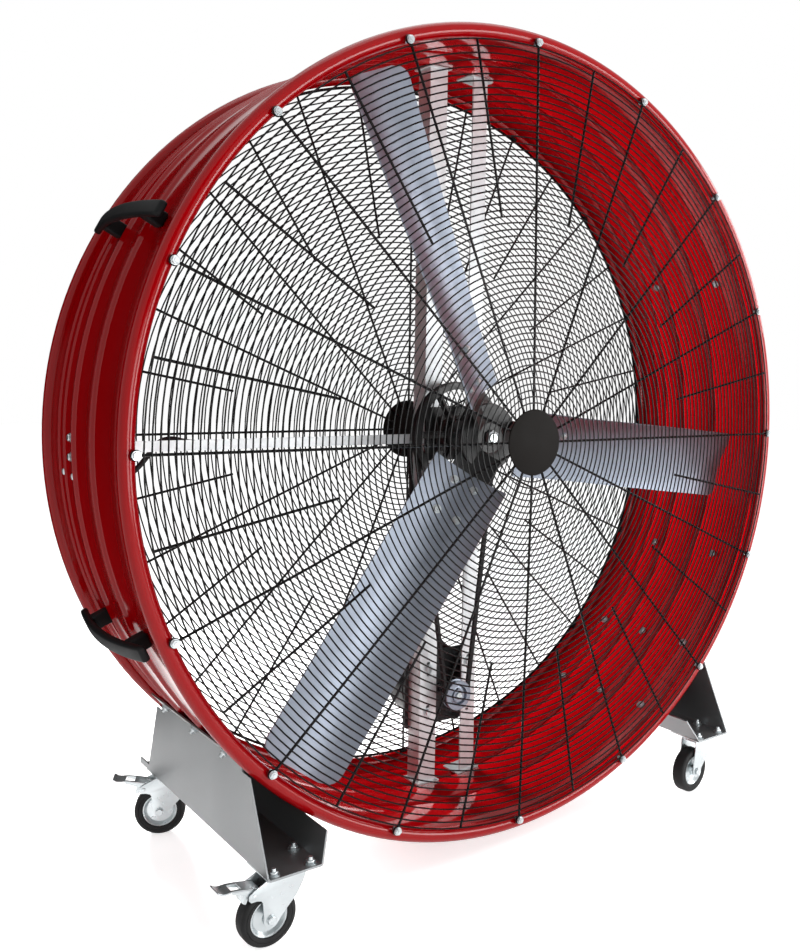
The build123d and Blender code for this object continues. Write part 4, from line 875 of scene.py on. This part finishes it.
class DRUMFAN_OT_drive(bpy.types.Operator):
    """Makes the motor, its terminal box, the motor pulley and the V belt"""

    bl_idname = "drumfan.drive"
    bl_label = "Motor and belt"

    def execute(self, context):
        with piece("motor_shell", "Casting paint", "motor_black", "motor_body", "motor_end_bell") as bm:
            add_motor_body(bm)

        with piece("terminal_housing", "Casting paint", "motor_black", "terminal_box") as bm:
            lid = moved(MOTOR, z=TERMINAL_FACE - TERMINAL_LID)
            box = moved(MOTOR, z=TERMINAL_FACE - TERMINAL_DEPTH)
            add_prism(bm, box, TERMINAL_OUTLINE, TERMINAL_WALLS, 3.0, 3)
            add_prism(bm, lid, TERMINAL_OUTLINE, TERMINAL_LID, 2.0)
            stamp(bm, cheese_head, [moved(lid, x, y, 2.5) for x, y in TERMINAL_SCREWS])

        with piece("motor_spindle", "Machined steel", "shaft_steel", "motor_shaft", body="motor_rotor") as bm:
            add_spun(bm, MOTOR, SPINDLE_PROFILE)

        with piece(
            "motor_sheave", "Cast aluminium", "pulley_silver", "motor_pulley", body="motor_rotor"
        ) as bm:
            place = moved(MOTOR, z=PULLEY_FORWARD)
            add_spun(bm, place, pulley_profile(MOTOR_PULLEY_RADIUS, SHEAVE_INSIDE), 64, closed=True)
            add_spun(bm, place, SHEAVE_HUB_PROFILE, closed=True)
            add_rod(bm, place, (0, 12, 6.5), (0, 17, 6.5), 2.2)

        with piece("drive_belt", "Vulcanised rubber", "belt_rubber", "v_belt") as bm:
            add_belt(bm)

        with piece("tension_bolts", "Zinc plate", "zinc", "motor_bolts") as bm:
            places = [
                moved(MOTOR, x - MOTOR_X, height, UPRIGHT_FORWARD)
                for x in (POST_X, ANGLE_BOLT_X)
                for height in MOTOR_BOLT_HEIGHTS
            ]
            add_heads(bm, "tension", places)
            for place in places:
                add_rod(bm, place, (0, 0, MOTOR_FACE - UPRIGHT_FORWARD), (0, 0, 1), 4.0, 12)
        return {"FINISHED"}


# ======================= cable =======================

CABLE_RADIUS = 5.0
# Along the side bar, behind the middle and above it; and down the post, right of the middle and behind it
BAR_LINE = (53.3, -11.7)
POST_LINE = (-69.3, 84.3)
# The route inside the drum: right of the middle, behind it and above it
CABLE_ROUTE = (
    (-768.9, 74, -74), (-702, 74, -74), (-664, 78, -48), (-626, 78, 8.3),
    (-568, *BAR_LINE), (-118, *BAR_LINE), (*POST_LINE, -11.7), (*POST_LINE, -406),
    (-93.3, 126, -448), (-76, 141, -476), (-50, 141, -476),
)
BAR_CLIPS = (-530.0, -340.0, -160.0)
POST_CLIPS = (-146.0, -292.0)
GLAND_PLACE = (-757.9, 74.0, -74.0)
GLAND_PROFILE = ((5.1, -20), (12, -20), (12, -8), (10, -7), (10.5, -1), (8, 3), (5.1, 4))
GLAND_NUT = -17.0
CLIP_BAND = ((5.05, 0), (6.8, 0.4), (6.8, 11.6), (5.05, 12))


def in_drum(right, behind, above):
    """A point from the middle of the drum."""
    return Vector((right, behind, AXIS_HEIGHT + above))


def cable_clip(part):
    """A nylon band round the cable with a flat foot."""
    add_spun(part, HERE, CLIP_BAND, 24, closed=True)
    add_block(part, moved(HERE, 3.4, 3.4, 1.0), 8.6, 8.6, 10.0, 1.0)


class DRUMFAN_OT_cable(bpy.types.Operator):
    """Runs the supply cable along the side bar and down the post to the motor"""

    bl_idname = "drumfan.cable"
    bl_label = "Supply cable"

    def execute(self, context):
        curve = bpy.data.curves.new("supply_cable", "CURVE")
        curve.dimensions = "3D"
        curve.bevel_depth = CABLE_RADIUS * MM
        curve.bevel_resolution = 4
        curve.resolution_u = 12
        curve.use_fill_caps = True
        spline = curve.splines.new("NURBS")
        spline.points.add(len(CABLE_ROUTE) - 1)
        for point, place in zip(spline.points, CABLE_ROUTE):
            point.co = (*in_drum(*place) * MM, 1.0)
        spline.order_u = 3
        spline.use_endpoint_u = True
        settle(put("supply_cable", curve), "Vulcanised rubber", "frame", ["power_cable"])

        with piece("gland_body", "Moulded nylon", "black_nylon", "cable_gland") as bm:
            mouth = frame_at(in_drum(*GLAND_PLACE), (0, 0, 1), (1, 0, 0))
            add_spun(bm, mouth, GLAND_PROFILE, 32, closed=True)
            add_heads(bm, "gland", [moved(mouth, z=GLAND_NUT)])

        with piece("cable_bands", "Moulded nylon", "black_nylon", "cable_clips") as bm:
            places = [frame_at(in_drum(x, *BAR_LINE), (0, 1, 0), (1, 0, 0)) for x in BAR_CLIPS]
            places += [frame_at(in_drum(*POST_LINE, above), (-1, 0, 0), (0, 0, 1)) for above in POST_CLIPS]
            stamp(bm, cable_clip, places)
        return {"FINISHED"}


# ======================= grips =======================

GRIP_ANGLES = {"left_upper": 152.0, "left_lower": 203.5, "right_upper": 28.0, "right_lower": -23.5}
GRIP_FORWARD = 20.0
GRIP_LENGTH = 310.0
GRIP_LEG_SPACING = 196.0
GRIP_LEG_LENGTH = 26.0
GRIP_WIDTH = 28.0
GRIP_HEIGHT = 50.0
GRIP_END_HEIGHT = 33.0
GRIP_THICKNESS = 13.0


def add_grip(bm, angle, edge):
    """A bowed bar on two legs, with soft moulded edges."""
    place = FAN @ Matrix.Rotation(radians(angle), 4, "Z")
    # x is radial, y is forward and z is across the grip
    side = frame_at(place @ Vector((BODY_RADIUS, 0, GRIP_FORWARD)), place.col[0].xyz, place.col[1].xyz)
    half, low = GRIP_LENGTH / 2, GRIP_END_HEIGHT - GRIP_THICKNESS
    top = bow((GRIP_END_HEIGHT, -half), GRIP_HEIGHT, (GRIP_END_HEIGHT, half), 17)
    under = bow((low, -half), GRIP_HEIGHT - GRIP_THICKNESS, (low, half), 17)
    add_prism(bm, moved(side, z=-GRIP_WIDTH / 2), top + under[::-1], GRIP_WIDTH, edge, 4)
    for sign in (-1, 1):
        leg = moved(side, SEAT_GAP, sign * GRIP_LEG_SPACING / 2) @ Matrix.Rotation(pi / 2, 4, "Y")
        add_block(bm, leg, GRIP_WIDTH - 2, GRIP_LEG_LENGTH, GRIP_END_HEIGHT, 3.5, 3)


class DRUMFAN_OT_grips(bpy.types.Operator):
    """Moulds the four carrying grips and sets their bolts"""

    bl_idname = "drumfan.grips"
    bl_label = "Carrying grips"

    def execute(self, context):
        edge = context.scene.drumfan_sizes.grip_edge / MM
        for name, angle in GRIP_ANGLES.items():
            with piece(f"moulded_grip_{name}", "Moulded nylon", "grip_black", f"grip_{name}") as bm:
                add_grip(bm, angle, edge)
        places = [
            outward(angle, BORE_RADIUS, GRIP_FORWARD + sign * GRIP_LEG_SPACING / 2) @ TURNED_OVER
            for angle in GRIP_ANGLES.values()
            for sign in (-1, 1)
        ]
        bolt_piece("grip_fasteners", "grip", places, "grip_bolts")
        return {"FINISHED"}


# ======================= bolts of the frame and the feet =======================

FRAME_RADIUS = 780.2
FRAME_BOLT_SPACING = 34.0
FRAME_BOLT_FORWARD = -80.0
FRAME_ENDS = (-42.0, 69.0)
SIDE_BAR_DROP = 20.0
FOOT_SHEET = 3.0
FOOT_WALLS = ((583.0, 1), (462.0, -1))
FLANGE_WIDTH = 34.0
FLANGE_RADIUS = 792.3
FLANGE_BOLTS = (-130.0, 8.0, 144.0)
FOOT_BASE = 130.0
CASTER_CORNERS = [(x, y, FOOT_BASE + FOOT_SHEET) for x in (-34.0, 34.0) for y in (-31.0, 31.0)]


def frame_bolt_places():
    """Outside the drum, over the ends of the uprights and the side bar."""
    angles = []
    for x in FRAME_ENDS:
        lean = degrees(asin(x / FRAME_RADIUS))
        angles += [90 - lean, -90 + lean]
    angles.append(180 + degrees(asin(SIDE_BAR_DROP / 2 / FRAME_RADIUS)))
    half = degrees(FRAME_BOLT_SPACING / 2 / BODY_RADIUS)
    pairs = [angle + side for angle in angles for side in (-half, half)]
    return [outward(angle, BODY_RADIUS, FRAME_BOLT_FORWARD) for angle in pairs]


def flange_bolt_angles():
    """Where the feet's flanges are bolted, on both sides."""
    angles = []
    for x, direction in FOOT_WALLS:
        start = degrees(atan2(-sqrt(FLANGE_RADIUS**2 - x**2), x))
        angle = start + direction * degrees(FLANGE_WIDTH / 2 / FLANGE_RADIUS)
        angles += [angle, 180 - angle]
    return angles


class DRUMFAN_OT_fasteners(bpy.types.Operator):
    """Sets the bolts that hold the frame, the feet and the casters"""

    bl_idname = "drumfan.fasteners"
    bl_label = "Bolts"

    def execute(self, context):
        bolt_piece("frame_fasteners", "frame", frame_bolt_places(), "frame_bolts")

        with piece("foot_fasteners", "Zinc plate", "zinc", "foot_bolts") as bm:
            for angle in flange_bolt_angles():
                for forward in FLANGE_BOLTS:
                    add_heads(bm, "foot_nut", [outward(angle, FLANGE_RADIUS + FOOT_SHEET, forward)])
                    add_heads(bm, "foot_head", [outward(angle, BORE_RADIUS, forward) @ TURNED_OVER])

        places = [moved(over_caster(name), *corner) for name in CASTERS for corner in CASTER_CORNERS]
        bolt_piece("caster_fasteners", "caster", places, "caster_bolts")
        return {"FINISHED"}


# ======================= casters =======================

FORK_GAP = 37.0
FORK_SHEET = 2.5
FORK_TOP = 120.7
PLATE_UNDERSIDE = 127.0
PLATE_SIZE = (96.0, 84.0, 3.0)
KING_PIN_LOW = 110.0
RACE_PROFILE = ((9.1, 118.1), (18, 118.1), (18, 112.5), (9.1, 112.5))
AXLE_RADIUS = 5.9
AXLE_BOSS = 13.5
CROWN_MIDDLE = 3.5
CROWN_LENGTH = 69.0
WHEEL_WIDTH = 30.0
RIM_OUTSIDE = 34.0
# A pressed wheel centre's half: hub, dished web, and a rolled bead beside the tyre
RIM_PROFILE = (
    (6.1, 15), (10, 15), (11, 14), (11.5, 8), (14, 6.5), (20, 5), (26, 5), (28.5, 7), (30.5, 11.5),
    (32, 12.6), (33.5, 12.2), (34, 11),
)
SEAL_PROFILE = ((9.1, 121.1), (26, 121.1), (28, 122.4), (28, 125.6), (26.5, 127), (9.1, 127))
# The fork's arm, as distance behind the swivel axis and height
ARM_FRONT = ((-31, FORK_TOP), (-31, 112), (-26, 100), (-14, 80), (4, 62), (14, 51))
ARM_BACK = ((44.5, 66), (42.5, 84), (39, 100))
BRAKED_ARM_BACK = (
    (46, 70), (47.5, 84), (50, 88), (58, 90.5), (68, 90.5), (72, 95), (71, 103), (60, 110),
)
PEDAL_PIN = (63.0, 99.0)
PEDAL_PIN_RADIUS = 3.0
PEDAL_SHEET = 2.5
PEDAL_WIDTH = 33.0
# The pedal's top from its pin to its raised tip, as distance behind the pin and height above it
PEDAL_LINE = ((-12, 10), (2, 13.5), (18, 16.5), (36, 19), (46, 18.5), (52, 19.5), (60, 24.5))
PEDAL_STATIONS = [share * PEDAL_WIDTH / 2 for share in (-1.0, -0.62, 0.62, 1.0)]
PEDAL_WINDOW = (2, 1)      # the cell that is left open: along the line, and across it
CHEEK_OUTLINE = ((-12, 9), (-6, -4), (0, -6), (6, -4), (14, 6), (36, 13), (36, 18), (18, 15.5), (2, 12.5))
SHOE_OUTLINE = ((4, 4), (11, -12.5), (17, -9.5), (14, 8))


def over_caster(name):
    """On the floor, at the swivel axis of this caster."""
    x, y = CASTER_X * (-1 if "left" in name else 1), CASTER_Y * (-1 if "front" in name else 1)
    return Matrix.Translation((x, y, 0))


def caster_frame(name):
    """x trails behind the swivel axis, y is up and z points across, from the floor."""
    yaw = radians(CASTERS[name])
    trail = Vector((-cos(yaw), -sin(yaw), 0))
    return frame_at(over_caster(name).translation, trail, trail.cross(Vector((0, 0, 1))))


def mirrored(upper):
    """A profile of (radius, across), carried on over the wheel's other half."""
    return [*upper, *((radius, -across) for radius, across in reversed(upper))]


def tyre_profile(edge):
    """Half round shoulders, a flat tread and a moulded step on each side."""
    half = WHEEL_WIDTH / 2
    side = [(RIM_OUTSIDE, half - 1.5), (RIM_OUTSIDE + 3, half), (40.5, half), (41.2, half - 0.8), (42, half)]
    return mirrored(side + arc((WHEEL_RADIUS - edge, half - edge), edge, 90, 0, 6))


def arm_outline(braked):
    """One side of the fork, from its front top corner round the axle to the back."""
    boss = arc((CASTER_TRAIL, WHEEL_RADIUS), AXLE_BOSS, 215, 378, 15)
    return [*ARM_FRONT, *boss, *(BRAKED_ARM_BACK if braked else ARM_BACK), (38.0, FORK_TOP)]


def both_ends(place, half):
    """Frames at the two ends of a pin, with z pointing off it."""
    return [moved(place, z=half), moved(place, z=-half) @ TURNED_OVER]


def add_fork(bm, place, braked):
    """A pressed fork: a race ring, a crown and two arms, with the axle and its heads."""
    crown = moved(place, CROWN_MIDDLE, FORK_TOP - FORK_SHEET) @ Matrix.Rotation(-pi / 2, 4, "X")
    add_block(bm, crown, CROWN_LENGTH, FORK_GAP + 2 * FORK_SHEET, FORK_SHEET, 1.0)
    outline = arm_outline(braked)
    for z in (-FORK_GAP / 2 - FORK_SHEET, FORK_GAP / 2):
        add_prism(bm, moved(place, z=z), outline, FORK_SHEET, 0.5)
    up = place @ Matrix.Rotation(-pi / 2, 4, "X")
    add_spun(bm, up, RACE_PROFILE, closed=True)
    outside = FORK_GAP / 2 + FORK_SHEET
    axle = moved(place, CASTER_TRAIL, WHEEL_RADIUS)
    add_rod(bm, axle, (0, 0, -outside), (0, 0, outside), AXLE_RADIUS, 20)
    add_heads(bm, "axle", both_ends(axle, outside))
    if braked:
        pin = moved(place, *PEDAL_PIN)
        add_rod(bm, pin, (0, 0, -outside), (0, 0, outside), PEDAL_PIN_RADIUS, 16)
        stamp(bm, rivet_head, both_ends(pin, outside), *RIVETS["pin"])


def add_pedal(bm, place):
    """A pressed pedal with a window, folded cheeks, and a shoe over the tyre."""
    pin = moved(place, *PEDAL_PIN)
    part = bmesh.new()
    rows = [[part.verts.new((x, y, z)) for z in PEDAL_STATIONS] for x, y in PEDAL_LINE]
    for row, (near, far) in enumerate(zip(rows, rows[1:])):
        for column in range(len(PEDAL_STATIONS) - 1):
            if (row, column) != PEDAL_WINDOW:
                part.faces.new((near[column], near[column + 1], far[column + 1], far[column]))
    bmesh.ops.recalc_face_normals(part, faces=part.faces)
    if sum(face.normal.y for face in part.faces) < 0:
        bmesh.ops.reverse_faces(part, faces=part.faces)
    bmesh.ops.solidify(part, geom=part.faces, thickness=PEDAL_SHEET)
    round_edges(part, 0.5, 1, 50)
    merge(bm, part, pin)
    for z in (-PEDAL_WIDTH / 2, PEDAL_WIDTH / 2 - 2):
        add_prism(bm, moved(pin, z=z), CHEEK_OUTLINE, 2.0, 0.4, 1)
    add_prism(bm, moved(pin, z=-PEDAL_WIDTH / 2 + 3), SHOE_OUTLINE, PEDAL_WIDTH - 6, 1.0)


def add_plate(bm, place):
    """The caster's top plate with its king pin."""
    add_block(bm, moved(place, z=PLATE_UNDERSIDE), *PLATE_SIZE, 0.8)
    low = moved(place, z=KING_PIN_LOW)
    add_spun(bm, low, [(0, 0), (8, 0), (9, 1), (9, 17), (0, 17)], 32)
    add_spun(bm, low, [(0, -3), (5, -3), (7, 0), (0, 0)], 24)


class DRUMFAN_OT_casters(bpy.types.Operator):
    """Makes the four swivel casters, two of them with brake pedals"""

    bl_idname = "drumfan.casters"
    bl_label = "Casters"

    def execute(self, context):
        edge = context.scene.drumfan_sizes.tread_edge / MM
        for name in CASTERS:
            place = caster_frame(name)
            wheel = moved(place, CASTER_TRAIL, WHEEL_RADIUS)
            with piece(
                f"tyre_{name}", "Vulcanised rubber", "tyre_black", f"caster_tyre_{name}", body=f"wheel_{name}"
            ) as bm:
                add_spun(bm, wheel, tyre_profile(edge), 72, closed=True)
            with piece(f"rim_{name}", "Zinc plate", "zinc", f"caster_rim_{name}", body=f"wheel_{name}") as bm:
                add_spun(bm, wheel, mirrored(RIM_PROFILE), 56, closed=True)
            with piece(
                f"fork_{name}", "Zinc plate", "zinc", f"caster_fork_{name}", body=f"swivel_{name}"
            ) as bm:
                add_fork(bm, place, name in BRAKED)
            if name in BRAKED:
                with piece(
                    f"pedal_{name}", "Zinc plate", "zinc", f"brake_pedal_{name}", body=f"pedal_{name}"
                ) as bm:
                    add_pedal(bm, place)
        with piece("top_plates", "Zinc plate", "zinc", "caster_plates") as bm:
            for name in CASTERS:
                add_plate(bm, over_caster(name))
        with piece("dust_seals", "Seal polymer", "seal_red", "swivel_seals") as bm:
            for name in CASTERS:
                add_spun(bm, over_caster(name), SEAL_PROFILE, closed=True)
        return {"FINISHED"}


# ======================= studio =======================

CAMERA_AZIMUTH = -38.71
CAMERA_ELEVATION = 4.07
CAMERA_ROLL = 1.33
CAMERA_PLACE = (-1285.69, -1742.13, 141.39 + AXIS_HEIGHT)
FOCAL_PIXELS = 997.27
PRINCIPAL_POINT = (500.0, 441.16)
PHOTO_SIZE = (800, 952)
SENSOR = 36.0
FLOOR_HALF = 14.0          # metres
FLOOR_GLOW = 0.7           # how much of the white the floor gives back
WIDE = 180                 # degrees, the spread of a bare lamp
# Each card: name, middle of its lower edge, width and height, all in metres
CARDS = (
    ("back_card", (-0.45, 0.95, 0.0), 3.1, 1.9),
    ("front_card", (-1.1, -2.4, 1.35), 1.5, 1.5),
)
# Each lamp: name, place and size in metres, key or fill power and the share of it, spread in degrees.
# The narrow one lights the inside of the drum from behind, and gloss doesn't see it
LAMPS = (
    ("key", (-0.2, -3.3, 0.75), (1.2, 1.0), "key", 0.16, WIDE),
    ("front_right", (2.3, -3.0, 0.9), (1.4, 1.2), "fill", 0.85, WIDE),
    ("right_fill", (3.2, -1.1, 1.9), (0.9, 1.2), "fill", 0.7, WIDE),
    ("back", (-0.05, 2.6, 0.95), (0.5, 1.2), "key", 0.45, 70),
    ("top", (0.4, 0.2, 4.4), (3.0, 3.0), "fill", 0.7, WIDE),
)


def seen_white(tree):
    """1 on rays that look for the background: the camera's, and those seen in gloss and glass."""
    rays = add(tree, "ShaderNodeLightPath")
    seen = rays.outputs["Is Camera Ray"]
    for kind in ("Is Glossy Ray", "Is Transmission Ray"):
        seen = add(tree, "ShaderNodeMath", {0: seen, 1: rays.outputs[kind]}, operation="MAXIMUM").outputs[0]
    return seen


def cleared(data):
    """The empty node tree of a material or a world."""
    data.use_nodes = True
    data.node_tree.nodes.clear()
    return data.node_tree


def stage_sheet(name, place, corners, material):
    """A flat part of the stage."""
    mesh = bpy.data.meshes.new(name)
    mesh.from_pydata([Vector(place) + Vector(corner) for corner in corners], [], [(0, 1, 2, 3)])
    mesh.materials.append(material)
    sheet = put(name, mesh)
    return sheet


def floor_finish(colour):
    """A matt floor that the camera sees almost as bright as the white behind it, with its shadows."""
    material = bpy.data.materials.new("Studio floor")
    tree = cleared(material)
    matt = add(tree, "ShaderNodeBsdfDiffuse", {"Color": tuple(colour)})
    glow = add(tree, "ShaderNodeEmission", {"Color": tuple(colour), "Strength": seen_white(tree)})
    dark = add(tree, "ShaderNodeEmission", {"Strength": 0.0})
    lifted = add(tree, "ShaderNodeMixShader", {0: FLOOR_GLOW, 1: dark.outputs[0], 2: glow.outputs[0]})
    both = add(tree, "ShaderNodeAddShader", {0: matt.outputs[0], 1: lifted.outputs[0]})
    add(tree, "ShaderNodeOutputMaterial", {"Surface": both.outputs[0]})
    return material


def card_finish():
    """Dull black, as of studio card."""
    material = bpy.data.materials.new("Black card")
    tree = cleared(material)
    black = add(tree, "ShaderNodeBsdfDiffuse", {"Color": (0.01, 0.01, 0.01, 1)})
    add(tree, "ShaderNodeOutputMaterial", {"Surface": black.outputs[0]})
    return material


def white_world(ambient):
    """Even light of this strength that looks white to the camera and in gloss."""
    world = bpy.data.worlds.new("Studio")
    bpy.context.scene.world = world
    tree = cleared(world)
    strength = add(tree, "ShaderNodeMapRange", {"Value": seen_white(tree), "To Min": ambient, "To Max": 1.0})
    back = add(tree, "ShaderNodeBackground", {"Color": (1, 1, 1, 1), "Strength": strength.outputs[0]})
    add(tree, "ShaderNodeOutputWorld", {"Surface": back.outputs[0]})


def camera_matrix():
    """The camera's place and its turn, from azimuth, elevation and roll."""
    a, e, r = radians(CAMERA_AZIMUTH), radians(CAMERA_ELEVATION), radians(CAMERA_ROLL)
    back = Vector((sin(a) * cos(e), -cos(a) * cos(e), sin(e)))
    level = Vector((cos(a), sin(a), 0))
    upright = back.cross(level)
    right = level * cos(r) + upright * sin(r)
    return frame_at(Vector(CAMERA_PLACE) * MM, right, back)


class DRUMFAN_OT_studio(bpy.types.Operator):
    """Lays the pale floor, hangs the lamps and sets the camera"""

    bl_idname = "drumfan.studio"
    bl_label = "Studio"

    def execute(self, context):
        studio = context.scene.drumfan_studio
        corners = [(x * FLOOR_HALF, y * FLOOR_HALF, 0) for x, y in ((-1, -1), (1, -1), (1, 1), (-1, 1))]
        stage_sheet("floor", (0, 0, 0), corners, floor_finish(studio.floor))
        cloth = card_finish()
        for name, place, width, height in CARDS:
            # Only gloss sees a card, and it keeps the white off that side of the object
            corners = [(x * width / 2, 0, z * height) for x, z in ((-1, 0), (1, 0), (1, 1), (-1, 1))]
            card = stage_sheet(name, place, corners, cloth)
            for kind in ("camera", "diffuse", "shadow", "transmission"):
                setattr(card, f"visible_{kind}", False)
        for name, place, size, power, share, spread in LAMPS:
            lamp = bpy.data.lights.new(name, "AREA")
            lamp.shape = "RECTANGLE"
            lamp.size, lamp.size_y = size
            lamp.energy = getattr(studio, power) * share
            lamp.spread = radians(spread)
            hung = put(name, lamp)
            hung.visible_camera = False
            hung.visible_glossy = spread == WIDE
            aim = Vector(place) - Vector((0, 0, AXIS_HEIGHT * MM))
            hung.matrix_world = frame_at(place, Vector((0, 0, 1)).cross(aim), aim)
        white_world(studio.ambient)
        context.scene.view_settings.view_transform = "Standard"
        lens = bpy.data.cameras.new("photo_camera")
        lens.sensor_width = SENSOR
        lens.lens = FOCAL_PIXELS / max(PHOTO_SIZE) * SENSOR
        lens.shift_x = (PHOTO_SIZE[0] / 2 - PRINCIPAL_POINT[0]) / max(PHOTO_SIZE)
        lens.shift_y = (PRINCIPAL_POINT[1] - PHOTO_SIZE[1] / 2) / max(PHOTO_SIZE)
        camera = put("photo_camera", lens)
        camera.matrix_world = camera_matrix()
        context.scene.camera = camera
        return {"FINISHED"}


# ======================= panel and registration =======================

OPERATORS = (
    DRUMFAN_OT_frame, DRUMFAN_OT_drum, DRUMFAN_OT_guards, DRUMFAN_OT_bearings, DRUMFAN_OT_rotor,
    DRUMFAN_OT_drive, DRUMFAN_OT_cable, DRUMFAN_OT_grips, DRUMFAN_OT_fasteners, DRUMFAN_OT_casters,
    DRUMFAN_OT_studio,
)
SETTINGS = {
    "drumfan_finishes": DRUMFAN_PG_finishes,
    "drumfan_sizes": DRUMFAN_PG_sizes,
    "drumfan_studio": DRUMFAN_PG_studio,
}


class DRUMFAN_PT_panel(bpy.types.Panel):
    """Lists the settings and the operators"""

    bl_label = "Drum fan"
    bl_space_type = "VIEW_3D"
    bl_region_type = "UI"
    bl_category = "Drum fan"

    def draw(self, context):
        for name, group in SETTINGS.items():
            box = self.layout.box()
            for key in group.__annotations__:
                box.prop(getattr(context.scene, name), key)
        for operator in OPERATORS:
            self.layout.operator(operator.bl_idname)


CLASSES = (*SETTINGS.values(), *OPERATORS, DRUMFAN_PT_panel)


def register():
    for cls in CLASSES:
        bpy.utils.register_class(cls)
    for name, group in SETTINGS.items():
        setattr(bpy.types.Scene, name, PointerProperty(type=group))


def unregister():
    for name in SETTINGS:
        delattr(bpy.types.Scene, name)
    for cls in reversed(CLASSES):
        bpy.utils.unregister_class(cls)


def main():
    register()
    for operator in OPERATORS:
        group, name = operator.bl_idname.split(".")
        getattr(getattr(bpy.ops, group), name)()


if __name__ == "__main__":
    main()
